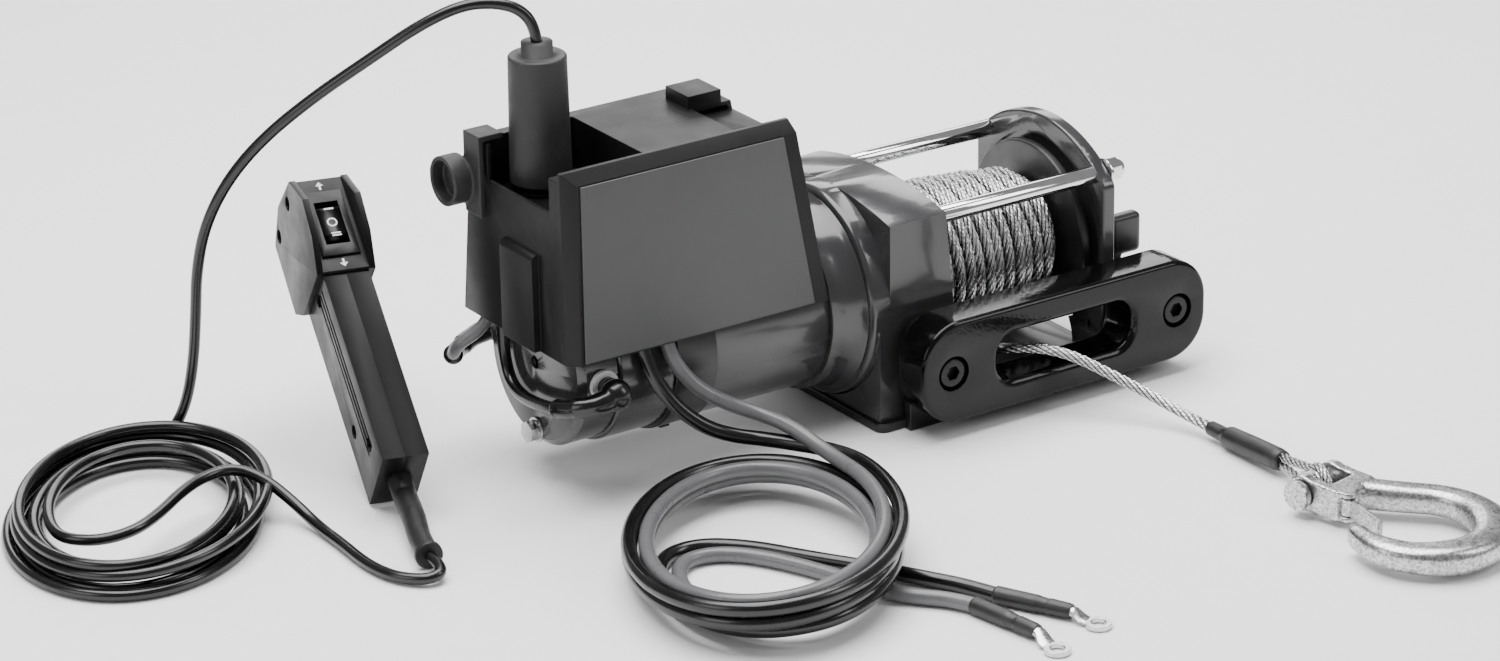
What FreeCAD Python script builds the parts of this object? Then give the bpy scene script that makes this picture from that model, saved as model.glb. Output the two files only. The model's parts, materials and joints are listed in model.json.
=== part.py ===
import FreeCAD, Part
import math
import os
import re
from types import SimpleNamespace

import Sketcher

from FreeCAD import Matrix, Placement, Rotation, Vector

# A 12 V trailer winch on its mounting bracket: millimetres, +Z up, +X from the motor to the drum,
# -Y towards the rope.  The origin is the middle of the four mounting bolts, on the bracket's underside.

SIZES = [
    # bracket and fairlead
    ("plate_left", -83.1), ("plate_right", 51.5), ("plate_half_depth", 50.7), ("plate_thick", 4.0),
    ("flange_thick", 4.4), ("flange_left", -70.0), ("flange_right", 74.0), ("flange_height", 51.0),
    ("bolt_span_x", 50.0), ("bolt_span_y", 76.2), ("bolt_hole", 4.25), ("foot_row_left", -61.5),
    ("foot_row_right", 44.8), ("foot_screw", 3.0), ("fairlead_mid", 2.0), ("fairlead_long", 157.0),
    ("fairlead_high", 47.5), ("fairlead_deep", 18.7), ("fairlead_axis", 31.3), ("fairlead_bolt_gap", 124.0),
    ("slot_long", 74.0), ("slot_high", 22.0),
    # shared axis and frame
    ("axis_height", 53.75), ("rod_offset_y", 38.5), ("rod_height", 90.45), ("rod_radius", 4.0),
    # gear housing and its motor adapter
    ("housing_left", -81.3), ("housing_right", -41.8), ("housing_half", 48.3), ("crown_height", 102.0),
    ("crown_radius", 182.7), ("ring_left", -85.5), ("ring_right", -75.0), ("ring_radius", 48.6),
    ("cavity_radius", 40.5), ("cavity_right", -54.0), ("recess_radius", 39.0), ("recess_left", -49.0),
    ("adapter_left", -102.0), ("adapter_radius", 42.0), ("adapter_spigot_end", -84.0),
    # motor
    ("can_left", -181.5), ("can_radius", 39.8), ("can_wall", 2.5), ("strap_left", -181.2),
    ("strap_right", -161.5), ("strap_radius", 40.9), ("commutator_end", -209.5), ("commutator_radius", 39.2),
    ("cover_end", -228.5), ("cover_radius", 37.5), ("through_bolt_ring", 31.5), ("motor_shaft", 5.0),
    ("stud_x", -218.0),
    # gear train
    ("gear_module", 1.25), ("output_module", 1.153846), ("sun_teeth", 12), ("planet_teeth", 24),
    ("fixed_teeth", 60), ("output_teeth", 63), ("planet_orbit", 22.5), ("planet_pin", 3.0),
    ("gears_left", -81.3), ("gear_face", 9.1), ("output_left", -71.4), ("output_rim", 39.8),
    ("carrier_left", -83.8),
    # drum, drive shaft and clutch
    ("drum_left", -48.7), ("drum_right", 39.5), ("drum_core", 22.0), ("drum_flange", 42.3),
    ("small_flange", 38.5), ("flange_face", 34.9), ("drum_bore", 20.0), ("shaft_radius", 7.0),
    ("shaft_hex", 13.0), ("clutch_travel", 5.0), ("plate_in", 41.8), ("plate_out", 48.8),
    ("end_half", 47.5), ("end_crown", 64.5), ("end_crown_height", 43.5), ("rope_diameter", 4.8),
    ("pack_left", -45.9), ("pack_step", -4.0), ("pack_right", 28.5), ("pack_full", 36.3), ("pack_low", 31.5),
    # control box
    ("box_left", -238.2), ("box_right_low", -108.0), ("box_right_high", -124.0), ("box_front", -46.0),
    ("box_back_low", 41.0), ("box_back_high", 31.0), ("box_bottom", 68.0), ("box_top", 150.0),
    ("box_wall", 2.0), ("step_left", -144.0), ("step_drop", 4.0), ("socket_floor", 125.0),
    ("plug_x", -215.8), ("plug_y", 10.5),
    ("recess_right", -190.5), ("recess_front", -32.0), ("recess_back", 25.0), ("socket_radius", 9.0),
    # handset, measured from the middle of its lower end, along its width, depth and length
    ("grip_width", 20.8), ("grip_depth", 35.0), ("grip_length", 98.0), ("head_width", 26.5),
    ("rocker_depth", -13.5), ("rocker_height", 121.0), ("rocker_radius", 10.6),
    # leads, rope and hook
    ("remote_cord_diameter", 5.0), ("supply_diameter", 6.6), ("motor_lead_diameter", 5.6),
    ("hook_pin", 4.0), ("hook_stock", 7.4), ("hook_bowl", 29.0), ("bowl_middle", 57.0),
]

doc = FreeCAD.newDocument("trailer_winch")
sheet = doc.addObject("Spreadsheet::Sheet", "dims")
for row, (alias, value) in enumerate(SIZES, start=1):
    sheet.set(f"A{row}", alias)
    sheet.set(f"B{row}", str(value))
    sheet.setAlias(f"B{row}", alias)
doc.recompute()
d = SimpleNamespace(**{alias: float(sheet.get(alias)) for alias, _ in SIZES})
WORDS = re.compile("|".join(rf"\b{alias}\b" for alias, _ in sorted(SIZES, key=lambda s: -len(s[0]))))

X_AXIS, Y_AXIS, Z_AXIS = Vector(1, 0, 0), Vector(0, 1, 0), Vector(0, 0, 1)
TURN_TO = {"X": Rotation(Y_AXIS, 90), "Y": Rotation(X_AXIS, -90), "Z": Rotation()}
NODES = []


# ---------------------------------------------------------------- helpers

def bound(text):
    """An expression written with bare aliases, pointed at the sheet."""
    return WORDS.sub(lambda word: "dims." + word.group(0), str(text))


def worked_out(text):
    """The value now of an expression, asked of the sheet."""
    return float(sheet.evalExpression(str(text)))


def place(item, at, turn=None):
    if turn is not None:
        item.Placement.Rotation = turn
    for letter, text in zip("xyz", at):
        item.setExpression(f"Placement.Base.{letter}", bound(text))


def cylinder(axis, radius, length, at):
    """A cylinder from its start point along +X, +Y or +Z."""
    item = doc.addObject("Part::Cylinder", "cylinder")
    item.setExpression("Radius", bound(radius))
    item.setExpression("Height", bound(length))
    place(item, at, TURN_TO[axis])
    return item


def cone(axis, radius_start, radius_end, length, at):
    item = doc.addObject("Part::Cone", "cone")
    item.setExpression("Radius1", bound(radius_start))
    item.setExpression("Radius2", bound(radius_end))
    item.setExpression("Height", bound(length))
    place(item, at, TURN_TO[axis])
    return item


def ball(radius, at):
    item = doc.addObject("Part::Sphere", "ball")
    item.setExpression("Radius", bound(radius))
    place(item, at)
    return item


def block(length, width, height, at):
    """A box from its lowest corner."""
    item = doc.addObject("Part::Box", "block")
    item.setExpression("Length", bound(length))
    item.setExpression("Width", bound(width))
    item.setExpression("Height", bound(height))
    place(item, at)
    return item


def prism(axis, sides, radius, length, at):
    """A regular prism along an axis; radius is measured to its corners."""
    item = doc.addObject("Part::Prism", "prism")
    item.Polygon = sides
    item.setExpression("Circumradius", bound(radius))
    item.setExpression("Height", bound(length))
    place(item, at, TURN_TO[axis])
    return item


def combined(kind, items):
    items = list(items)
    if len(items) == 1:
        return items[0]
    item = doc.addObject(kind, "combined")
    if kind == "Part::Compound":
        item.Links = items
    else:
        item.Shapes = items
    return item


def fused(*items):
    return combined("Part::MultiFuse", items)


def overlap(*items):
    return combined("Part::MultiCommon", items)


def grouped(*items):
    return combined("Part::Compound", items)


def cut(base, *tools):
    item = doc.addObject("Part::Cut", "cut")
    item.Base = base
    item.Tool = fused(*tools)
    return item


def solid(shape):
    """A shape that no ready-made feature gives."""
    item = doc.addObject("Part::Feature", "solid")
    item.Shape = shape
    return item


def rounded(base, radius, wanted):
    """Fillets on the edges of base that wanted accepts."""
    doc.recompute()
    item = doc.addObject("Part::Fillet", "rounded")
    item.Base = base
    item.Edges = [(number, radius, radius) for number, edge in enumerate(base.Shape.Edges, start=1)
                  if wanted(edge)]
    return item


def node(label, item):
    """Name the object that becomes one kept piece."""
    item.Label = label
    NODES.append(item)
    return item


def along(edge, axis):
    """True for a straight edge parallel to the axis."""
    if edge.Curve.TypeId != "Part::GeomLine":
        return False
    return abs(edge.Curve.Direction.dot(axis)) > 0.999


def new_body(name):
    return doc.addObject("PartDesign::Body", name)


def sketch_on(body, role, corners, offset=0.0, circles=()):
    """A closed outline of corners, and circles, on one of the body's origin planes.

    Each corner and circle centre is a pair of expressions, held by dimensions bound to the sheet.
    """
    sketch = body.newObject("Sketcher::SketchObject", "outline")
    plane = next(item for item in body.Origin.OriginFeatures if item.Role == role)
    sketch.AttachmentSupport = (plane, [""])
    sketch.MapMode = "FlatFace"
    sketch.AttachmentOffset = Placement(Vector(0, 0, offset), Rotation())

    def hold(geometry, point, pair):
        for kind, text in zip(("DistanceX", "DistanceY"), pair):
            number = sketch.addConstraint(Sketcher.Constraint(kind, -1, 1, geometry, point, 1.0))
            sketch.setExpression(f"Constraints[{number}]", bound(text))

    def rough(pair):
        return Vector(worked_out(pair[0]), worked_out(pair[1]), 0)

    for number, corner in enumerate(corners):
        following = corners[(number + 1) % len(corners)]
        sketch.addGeometry(Part.LineSegment(rough(corner), rough(following)), False)
    for number, corner in enumerate(corners):
        sketch.addConstraint(Sketcher.Constraint("Coincident", number, 2, (number + 1) % len(corners), 1))
        hold(number, 1, corner)
    for centre, radius in circles:
        number = sketch.addGeometry(Part.Circle(rough(centre), Z_AXIS, worked_out(radius)), False)
        hold(number, 3, centre)
        held = sketch.addConstraint(Sketcher.Constraint("Radius", number, worked_out(radius)))
        sketch.setExpression(f"Constraints[{held}]", bound(radius))
    return sketch


def revolved(body, corners):
    """A turned piece about the winch's own axis: corners are (x, radius) pairs."""
    sketch = sketch_on(body, "XZ_Plane", corners)
    turned = body.newObject("PartDesign::Revolution", "turned")
    turned.Profile = sketch
    turned.ReferenceAxis = (sketch, ["H_Axis"])
    turned.Angle = 360
    return body


def turned_piece(corners):
    body = revolved(new_body("turned_body"), corners)
    place(body, ("0", "0", "axis_height"))
    return body


# ---------------------------------------------------------------- bracket, feet and fairlead

def mounting_bracket():
    """Base plate with an upturned front flange, countersunk from below for the foot screws."""
    plate = block("plate_right - plate_left", "2 * plate_half_depth", "plate_thick",
                  ("plate_left", "-plate_half_depth", "0"))
    plate = rounded(plate, 5, lambda edge: along(edge, Z_AXIS))
    flange = block("flange_right - flange_left", "flange_thick + 2", "flange_height",
                   ("flange_left", "-plate_half_depth - flange_thick", "0"))
    flange = rounded(flange, 7, lambda edge: along(edge, Y_AXIS) and edge.CenterOfMass.z > 20)
    behind = block("flange_right - flange_left + 2", "20", "flange_height",
                   ("flange_left - 1", "-plate_half_depth", "plate_thick"))
    window = slot_cutter("slot_long + 4", "slot_high + 4")
    tools = [behind, window]
    for side in ("-1", "1"):
        tools.append(cylinder("Y", "bolt_hole", "40", (f"fairlead_mid + {side} * fairlead_bolt_gap / 2",
                                                       "-plate_half_depth - 20", "fairlead_axis")))
        for end in ("-1", "1"):
            tools.append(cylinder("Z", "bolt_hole", "20", (f"{end} * bolt_span_x / 2",
                                                           f"{side} * bolt_span_y / 2", "-5")))
        for row in ("foot_row_left", "foot_row_right"):
            tools.append(cylinder("Z", "foot_screw + 0.1", "20", (row, f"{side} * bolt_span_y / 2", "-5")))
            tools.append(cone("Z", "2 * foot_screw + 0.1", "foot_screw + 0.1", "foot_screw",
                              (row, f"{side} * bolt_span_y / 2", "0")))
    trimmed = cut(fused(plate, flange), *tools)
    node("mounting_bracket", trimmed)


def slot_cutter(long, high):
    """A bar with round ends, to cut the rope's slot through the flange and the fairlead."""
    bar = block(long, "60", high, (f"fairlead_mid - ({long}) / 2", "-90", f"fairlead_axis - ({high}) / 2"))
    return rounded(bar, d.slot_high * 0.42, lambda edge: along(edge, Y_AXIS))


def fairlead():
    """Hawse fairlead: a thick slab with round ends and a flared slot."""
    front = "-plate_half_depth - flange_thick - fairlead_deep"
    slab = block("fairlead_long", "fairlead_deep", "fairlead_high",
                 ("fairlead_mid - fairlead_long / 2", front, "fairlead_axis - fairlead_high / 2"))
    slab = rounded(slab, 20, lambda edge: along(edge, Y_AXIS))
    slab = rounded(slab, 2.2, lambda edge: edge.BoundBox.YLength < 0.01
                   and edge.CenterOfMass.y < -d.plate_half_depth - d.flange_thick - 1)
    slab = cut(slab, slot_cutter("slot_long", "slot_high"))
    face = -d.plate_half_depth - d.flange_thick - d.fairlead_deep

    def mouth(edge):
        return (edge.BoundBox.YLength < 0.01 and edge.CenterOfMass.y < face + 1
                and abs(edge.CenterOfMass.x - d.fairlead_mid) < d.slot_long / 2 + 1
                and abs(edge.CenterOfMass.z - d.fairlead_axis) < d.slot_high / 2 + 1)

    slab = rounded(slab, 4.0, mouth)
    tools = []
    for side in ("-1", "1"):
        middle = f"fairlead_mid + {side} * fairlead_bolt_gap / 2"
        tools.append(cylinder("Y", "bolt_hole", "40", (middle, "-90", "fairlead_axis")))
        tools.append(cylinder("Y", "8", "20 + 8.6", (middle, f"{front} - 20", "fairlead_axis")))
    node("fairlead", cut(slab, *tools))
    screws = []
    for side in ("-1", "1"):
        middle = f"fairlead_mid + {side} * fairlead_bolt_gap / 2"
        head = cylinder("Y", "6.5", "7.9", (middle, f"{front} + 0.7", "fairlead_axis"))
        head = rounded(head, 0.7, lambda edge: edge.BoundBox.YLength < 0.01 and
                       edge.CenterOfMass.y < -d.plate_half_depth - d.flange_thick - d.fairlead_deep + 2)
        shank = cylinder("Y", "3.95", "16", (middle, f"{front} + 8.6", "fairlead_axis"))
        socket = prism("Y", 6, "3.46", "5", (middle, f"{front} - 1", "fairlead_axis"))
        screws.append(cut(fused(head, shank), socket))
    node("fairlead_bolts", grouped(*screws))


def foot_screws():
    screws = []
    for row in ("foot_row_left", "foot_row_right"):
        for side in ("-1", "1"):
            at = (row, f"{side} * bolt_span_y / 2")
            head = cone("Z", "2 * foot_screw", "foot_screw", "foot_screw", (*at, "0.05"))
            shank = cylinder("Z", "foot_screw", "13", (*at, "foot_screw + 0.05"))
            key = prism("Z", 6, "2.3", "2.6", (*at, "-0.5"))
            screws.append(cut(fused(head, shank), key))
    node("foot_screws", grouped(*screws))


# ---------------------------------------------------------------- housings

def gear_housing():
    """Cast block with an arched crown, a round collar for the motor side and two feet."""
    wide = "housing_right - housing_left"
    lump = block(wide, "2 * housing_half", "crown_height - plate_thick",
                 ("housing_left", "-housing_half", "plate_thick"))
    crown = cylinder("X", "crown_radius", wide, ("housing_left", "0", "crown_height - crown_radius"))
    lump = overlap(lump, crown)
    shoulder = cut(block("6.5", "2 * housing_half + 2", "60", ("housing_left - 1", "-housing_half - 1",
                                                                 "axis_height")),
                   cylinder("X", "ring_radius", "20", ("housing_left - 5", "0", "axis_height")))
    slope = wedge_off_right()
    tunnel = cylinder("X", "ring_radius - 3", "18", ("housing_left - 1", "0", "axis_height - 4"))
    under = overlap(tunnel, block("40", "60", "22", ("housing_left - 2", "-30", "0")))
    ring = cylinder("X", "ring_radius", "ring_right - ring_left", ("ring_left", "0", "axis_height"))
    ring = rounded(ring, 2.5, lambda edge: edge.CenterOfMass.x < d.ring_left + 0.1)
    cavity = cylinder("X", "cavity_radius", "cavity_right - ring_left + 10", ("ring_left - 10", "0",
                                                                             "axis_height"))
    recess = cylinder("X", "recess_radius", "40", ("recess_left", "0", "axis_height"))
    passage = cylinder("X", "14", "60", ("cavity_right - 10", "0", "axis_height"))
    rods = [cylinder("X", "rod_radius", "14", ("housing_right - 14", f"{side} * rod_offset_y",
                                               "rod_height")) for side in ("-1", "1")]
    taps = [cylinder("Z", "foot_screw + 0.1", "20", ("foot_row_left", f"{side} * bolt_span_y / 2", "0"))
            for side in ("-1", "1")]
    cored = cut(fused(cut(lump, shoulder, slope, under), ring), cavity, recess, passage, *rods, *taps)
    node("gear_housing", cored)


def wedge_off_right():
    """What the draft of the housing's drum side takes away above the axis."""
    low = Vector(d.housing_right, -60, d.axis_height)
    top = Vector(d.housing_right - 4.5, -60, d.crown_height)
    outline = Part.makePolygon([low, top, top + Vector(10, 0, 5), low + Vector(10, 0, 0), low])
    return solid(Part.Face(outline).extrude(Vector(0, 120, 0)))


def motor_adapter():
    """Turned cover between motor and gears, flaring to the housing's collar."""
    corners = [("adapter_left", "8"), ("adapter_left", "adapter_radius"),
               ("adapter_left + 6", "adapter_radius"), ("ring_left - 5", "adapter_radius + 1"),
               ("ring_left - 1.8", "adapter_radius + 2.2"), ("ring_left", "adapter_radius + 4"),
               ("ring_left", "cavity_radius - 0.05"), ("adapter_spigot_end", "cavity_radius - 0.05"),
               ("adapter_spigot_end", "34"), ("adapter_left + 13", "34"), ("adapter_left + 13", "8")]
    body = turned_piece(corners)
    doc.recompute()
    taps = [cylinder("X", "2.5", "9", ("adapter_left - 1", "0",
                                         f"axis_height + {side} * through_bolt_ring")) for side in ("-1", "1")]
    node("motor_adapter", cut(body, *taps))


def end_plate():
    """Arched plate at the drum's free end, recessed for the flange, on two feet."""
    wide = "plate_out - plate_in"
    slab = overlap(block(wide, "2 * end_half", "110", ("plate_in", "-end_half", "plate_thick")),
                   cylinder("X", "end_crown", wide, ("plate_in", "0", "end_crown_height")))
    slab = rounded(slab, 6, lambda edge: along(edge, X_AXIS) and edge.CenterOfMass.z > 60)
    slab = rounded(slab, 1.2, lambda edge: edge.BoundBox.XLength < 0.01 and edge.CenterOfMass.z > 5)
    feet = [block("plate_out + 2 - plate_in + 3", "17.5", "12", ("plate_in - 3", y, "plate_thick"))
            for y in ("-end_half", "end_half - 17.5")]
    recess = cylinder("X", "44.5", "3.2", ("plate_in - 0.5", "0", "axis_height"))
    recess = overlap(recess, block("20", "100", "100", ("plate_in - 5", "-50", "17")))
    bore = cylinder("X", "9.95", "40", ("plate_in - 10", "0", "axis_height"))
    boss = cylinder("X", "16", "plate_out - plate_in - 2", ("plate_in + 1", "0", "axis_height"))
    arch = overlap(cylinder("X", "26", "60", ("plate_in - 20", "0", "4")),
                   block("80", "60", "20", ("plate_in - 20", "-30", "0")))
    rods = [cylinder("X", "3.1", "60", ("plate_in - 20", f"{side} * rod_offset_y", "rod_height"))
            for side in ("-1", "1")]
    taps = [cylinder("Z", "foot_screw + 0.1", "20", ("foot_row_right", f"{side} * bolt_span_y / 2", "0"))
            for side in ("-1", "1")]
    node("end_plate", cut(fused(cut(fused(slab, *feet), recess, arch), boss), bore, *rods, *taps))


def tie_rods():
    """Two spacer rods between the housings, each with a washer and a cap nut."""
    rods, nuts = [], []
    for side in ("-1", "1"):
        at = (f"{side} * rod_offset_y", "rod_height")
        bar = cylinder("X", "rod_radius", "plate_in - housing_right + 12", ("housing_right - 12", *at))
        stud = cylinder("X", "3", "plate_out - plate_in + 6", ("plate_in", *at))
        rods.append(fused(bar, stud))
        washer = cylinder("X", "6.2", "1.4", ("plate_out", *at))
        nut = prism("X", 6, "5.77", "5.2", ("plate_out + 1.4", *at))
        dome = overlap(ball("4.6", ("plate_out + 6.6", *at)),
                       block("6", "20", "20", ("plate_out + 6.2", f"{side} * rod_offset_y - 10",
                                               "rod_height - 10")))
        nuts.append(cut(fused(washer, nut, dome), cylinder("X", "3", "6.5", ("plate_out - 0.5", *at))))
    node("tie_rods", grouped(*rods, *nuts))


# ---------------------------------------------------------------- motor

def motor():
    at = ("0", "axis_height")
    length = "adapter_left - 0.2 - can_left"
    node("motor_can", cut(cylinder("X", "can_radius", length, ("can_left", *at)),
                          cylinder("X", "can_radius - can_wall", "200", ("can_left - 10", *at))))
    box_saddle()
    inner = "can_radius - can_wall - 3.2"
    corners = [("commutator_end", inner), ("commutator_end", "commutator_radius - 1"),
               ("commutator_end + 1", "commutator_radius"), ("can_left - 0.4", "commutator_radius"),
               ("can_left - 0.4", "can_radius - can_wall - 0.1"),
               ("can_left + 4", "can_radius - can_wall - 0.1"), ("can_left + 4", inner)]
    node("commutator_housing", turned_piece(corners))
    cover = [("cover_end", "3"), ("cover_end", "cover_radius - 3"), ("cover_end + 3", "cover_radius"),
             ("commutator_end - 0.3", "cover_radius"), ("commutator_end - 0.3", f"{inner} - 0.1"),
             ("commutator_end + 3", f"{inner} - 0.1"), ("commutator_end + 3", f"{inner} - 3"),
             ("cover_end + 3", f"{inner} - 3"), ("cover_end + 3", "12"), ("cover_end + 11", "12"),
             ("cover_end + 11", "8"), ("cover_end + 2", "8"), ("cover_end + 2", "3")]
    body = turned_piece(cover)
    holes = [cylinder("X", "3.1", "30", ("cover_end - 2", "0", f"axis_height + {side} * through_bolt_ring"))
             for side in ("-1", "1")]
    stud_hole = cylinder("Y", "3.1", "120", ("stud_x", "-60", "axis_height"))
    node("rear_cover", cut(body, *holes, stud_hole))
    bolts = []
    for side in ("-1", "1"):
        line = ("0", f"axis_height + {side} * through_bolt_ring")
        shank = cylinder("X", "2.45", "adapter_left + 6 - cover_end + 3", ("cover_end - 3", *line))
        washer = cylinder("X", "5.6", "0.8", ("cover_end - 0.8", *line))
        spring = cylinder("X", "4.6", "1.0", ("cover_end - 1.8", *line))
        head = prism("X", 6, "5.0", "3.6", ("cover_end - 5.4", *line))
        bolts.append(fused(shank, washer, spring, head))
    node("through_bolts", grouped(*bolts))
    node("motor_bushes", grouped(bush("cover_end + 2.2", "8.6", "motor_shaft + 0.05", "8"),
                                 bush("adapter_left + 1", "11.9", "motor_shaft + 0.05", "8")))
    node("field_magnets", grouped(*[magnet(side) for side in ("-1", "1")]))


def box_saddle():
    """Band round the motor can, with the cradle that the control box stands on."""
    at = ("0", "axis_height")
    band = cut(cylinder("X", "strap_radius", "strap_right - strap_left", ("strap_left", *at)),
               cylinder("X", "can_radius", "60", ("strap_left - 10", *at)))
    tab = block("5", "9", "7", ("strap_right - 7", "-4.5", "axis_height - strap_radius - 4"))
    tab = cut(tab, cylinder("X", "can_radius + 0.4", "60", ("strap_left - 10", *at)))
    cradle = block("100", "64", "6", ("-232", "-35", "axis_height + strap_radius - 3"))
    cradle = cut(cradle, cylinder("X", "strap_radius - 0.2", "160", ("-250", *at)))
    node("box_saddle", fused(band, tab, cradle))


def bush(start, length, bore, outside):
    return cut(cylinder("X", outside, length, (start, "0", "axis_height")),
               cylinder("X", bore, "200", (f"{start} - 50", "0", "axis_height")))


def magnet(side):
    """One arc magnet at the can's front or back, leaving room for the through bolts."""
    at = ("0", "axis_height")
    arc = cut(cylinder("X", "can_radius - can_wall", "54", ("can_left + 12", *at)),
              cylinder("X", "26", "60", ("can_left + 10", *at)))
    corner = f"{side} * 25 - 25"
    return overlap(arc, block("60", "50", "46", ("can_left + 10", corner, "axis_height - 23")),
                   block("60", "50", "60", ("can_left + 10", f"{side} * 30 - 25", "axis_height - 30")))


def armature():
    """Shaft, slotted core with its two winding heads, commutator and brushes."""
    at = ("0", "axis_height")
    node("armature_shaft", cylinder("X", "motor_shaft", "adapter_spigot_end + 11 - cover_end - 3",
                                    ("cover_end + 3", *at)))
    slots = [Placement(Vector(), Rotation(X_AXIS, 360 / 12 * turn)) for turn in range(12)]
    core = Part.makeCylinder(24, 50, Vector(0, 0, 0), X_AXIS)
    core = core.cut(Part.makeCylinder(d.motor_shaft, 60, Vector(-5, 0, 0), X_AXIS))
    for turn in slots:
        gap = Part.makeBox(54, 2.2, 4, Vector(-2, -1.1, 21))
        gap = gap.fuse(Part.makeCylinder(3.0, 54, Vector(-2, 0, 18.5), X_AXIS))
        gap.Placement = turn
        core = core.cut(gap)
    stack = solid(core)
    place(stack, ("can_left + 14", *at))
    windings = []
    for start in ("can_left + 5", "can_left + 64.2"):
        coil = cylinder("X", "20", "8.6", (start, *at))
        coil = rounded(coil, 3, lambda edge: edge.BoundBox.XLength < 0.01)
        windings.append(cut(coil, cylinder("X", "motor_shaft", "60", (f"{start} - 20", *at))))
    node("armature_core", grouped(stack, *windings))
    node("commutator", cut(cylinder("X", "12", "15", ("can_left - 16", *at)),
                           cylinder("X", "motor_shaft", "60", ("can_left - 30", *at))))
    node("brushes", grouped(*[block("9", "11", "6", ("can_left - 13", y, "axis_height - 3"))
                              for y in ("12.05", "-12.05 - 11")]))


# ---------------------------------------------------------------- gears

def gear_outline(teeth, module, addendum, dedendum, thickness, turn):
    """A closed wire of straight-sided teeth in the YZ plane; a tooth is centred at angle turn."""
    pitch = teeth * module / 2
    step = 2 * math.pi / teeth
    slope = math.tan(math.radians(20))
    corners = []
    for tooth in range(teeth):
        middle = turn + tooth * step
        for radius, side in ((pitch - dedendum, -1), (pitch + addendum, -1), (pitch + addendum, 1),
                             (pitch - dedendum, 1)):
            half = (thickness * step / 2) - (radius - pitch) * slope / pitch
            angle = middle + side * half
            corners.append(Vector(0, radius * math.cos(angle), radius * math.sin(angle)))
    return Part.makePolygon(corners + corners[:1])


def gear_solid(wire, start, length):
    face = Part.Face(wire)
    face.translate(Vector(start, 0, 0))
    return face.extrude(Vector(length, 0, 0))


def toothed(teeth, module, turn, start, length):
    """A solid spur gear with a tooth centred at angle turn."""
    return gear_solid(gear_outline(int(teeth), module, 0.75 * module, 1.1 * module, 0.43, turn), start, length)


def ring_gear(label, teeth, module, rim, start, width):
    """A ring gear: the rim with its bore of inward teeth cut right through."""
    bore = gear_outline(int(teeth), module, 1.1 * module, 0.75 * module, 0.57,
                        math.pi / 2 + math.pi / teeth)
    ring = solid(rim.cut(gear_solid(bore, start, width)))
    place(ring, ("0", "0", "axis_height"))
    node(label, ring)


def gears():
    """Compound planetary train: the planets run in a fixed ring and drive a ring of three teeth more."""
    quarter = math.pi / 2
    sun = solid(toothed(d.sun_teeth, d.gear_module, quarter, d.gears_left, d.gear_face - 0.5))
    place(sun, ("0", "0", "axis_height"))
    node("sun_gear", cut(sun, cylinder("X", "motor_shaft", "20", ("gears_left - 9", "0", "axis_height"))))
    fixed_rim = Part.makeCylinder(d.cavity_radius, 12, Vector(d.adapter_spigot_end, 0, 0), X_AXIS)
    ring_gear("fixed_ring_gear", d.fixed_teeth, d.gear_module, fixed_rim, d.adapter_spigot_end - 5, 30)
    drum_rim = Part.makeCylinder(d.output_rim, 14.6, Vector(d.output_left, 0, 0), X_AXIS)
    drum_rim = drum_rim.cut(Part.makeCylinder(d.shaft_radius, 40, Vector(-80, 0, 0), X_AXIS))
    ring_gear("output_ring_gear", d.output_teeth, d.output_module, drum_rim, d.output_left - 5, 16.4)
    discs = [cut(cylinder("X", "29", "2.2", (start, "0", "axis_height")),
                 cylinder("X", bore, "9", (f"{start} - 4", "0", "axis_height")))
             for start, bore in (("carrier_left", "motor_shaft + 1"), ("-62.6", "shaft_radius + 0.3"))]
    pins = []
    for number in range(3):
        angle = quarter + number * 2 * math.pi / 3
        y, z = d.planet_orbit * math.cos(angle), d.planet_orbit * math.sin(angle)
        at = (f"{y:.5f}", f"axis_height + ({z:.5f})")
        pins.append(cylinder("X", "planet_pin", "23.4", ("carrier_left", *at)))
        gap = angle + math.pi / d.planet_teeth
        wheel = toothed(d.planet_teeth, d.gear_module, gap, d.gears_left, d.gear_face)
        wheel = wheel.fuse(toothed(d.planet_teeth, d.output_module, gap, d.gears_left + d.gear_face, 9.3))
        wheel = wheel.cut(Part.makeCylinder(d.planet_pin + 0.05, 40, Vector(-90, 0, 0), X_AXIS))
        planet = solid(wheel)
        place(planet, ("0", *at))
        node(f"planet_gear_{number + 1}", planet)
    node("planet_carrier", fused(*discs, *pins))


# ---------------------------------------------------------------- drum and clutch

def drum():
    at = ("0", "axis_height")
    corners = [("drum_left", "12.05"), ("drum_left", "small_flange"), ("pack_left", "small_flange"),
               ("pack_left", "drum_core"), ("flange_face", "drum_core"), ("flange_face", "drum_flange - 0.8"),
               ("flange_face + 0.8", "drum_flange"), ("drum_right - 0.8", "drum_flange"),
               ("drum_right", "drum_flange - 0.8"), ("drum_right", "drum_bore"), ("20.5", "drum_bore"),
               ("20.5", "12.05")]
    body = turned_piece(corners)
    dogs = [cut(overlap(cylinder("X", "drum_bore + 0.5", "7", ("22.3", *at)), dog_sector(number, 0, "22.3")),
                cylinder("X", "15.5", "60", ("0", *at))) for number in range(6)]
    node("drum", fused(body, *dogs))
    node("drum_bushes", grouped(bush("drum_left", "14", "shaft_radius + 0.05", "12"),
                                bush("8", "12.5", "shaft_radius + 0.05", "12")))
    pack = Part.makePolygon([Vector(d.pack_left, 0, d.drum_core), Vector(d.pack_left, 0, d.pack_full),
                             Vector(d.pack_step, 0, d.pack_full - 1.2), Vector(d.pack_right, 0, d.pack_low),
                             Vector(d.pack_right, 0, d.drum_core), Vector(d.pack_left, 0, d.drum_core)])
    wound = solid(Part.Face(pack).revolve(Vector(), X_AXIS, 360))
    place(wound, ("0", "0", "axis_height"))
    node("rope_on_drum", wound)


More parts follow.
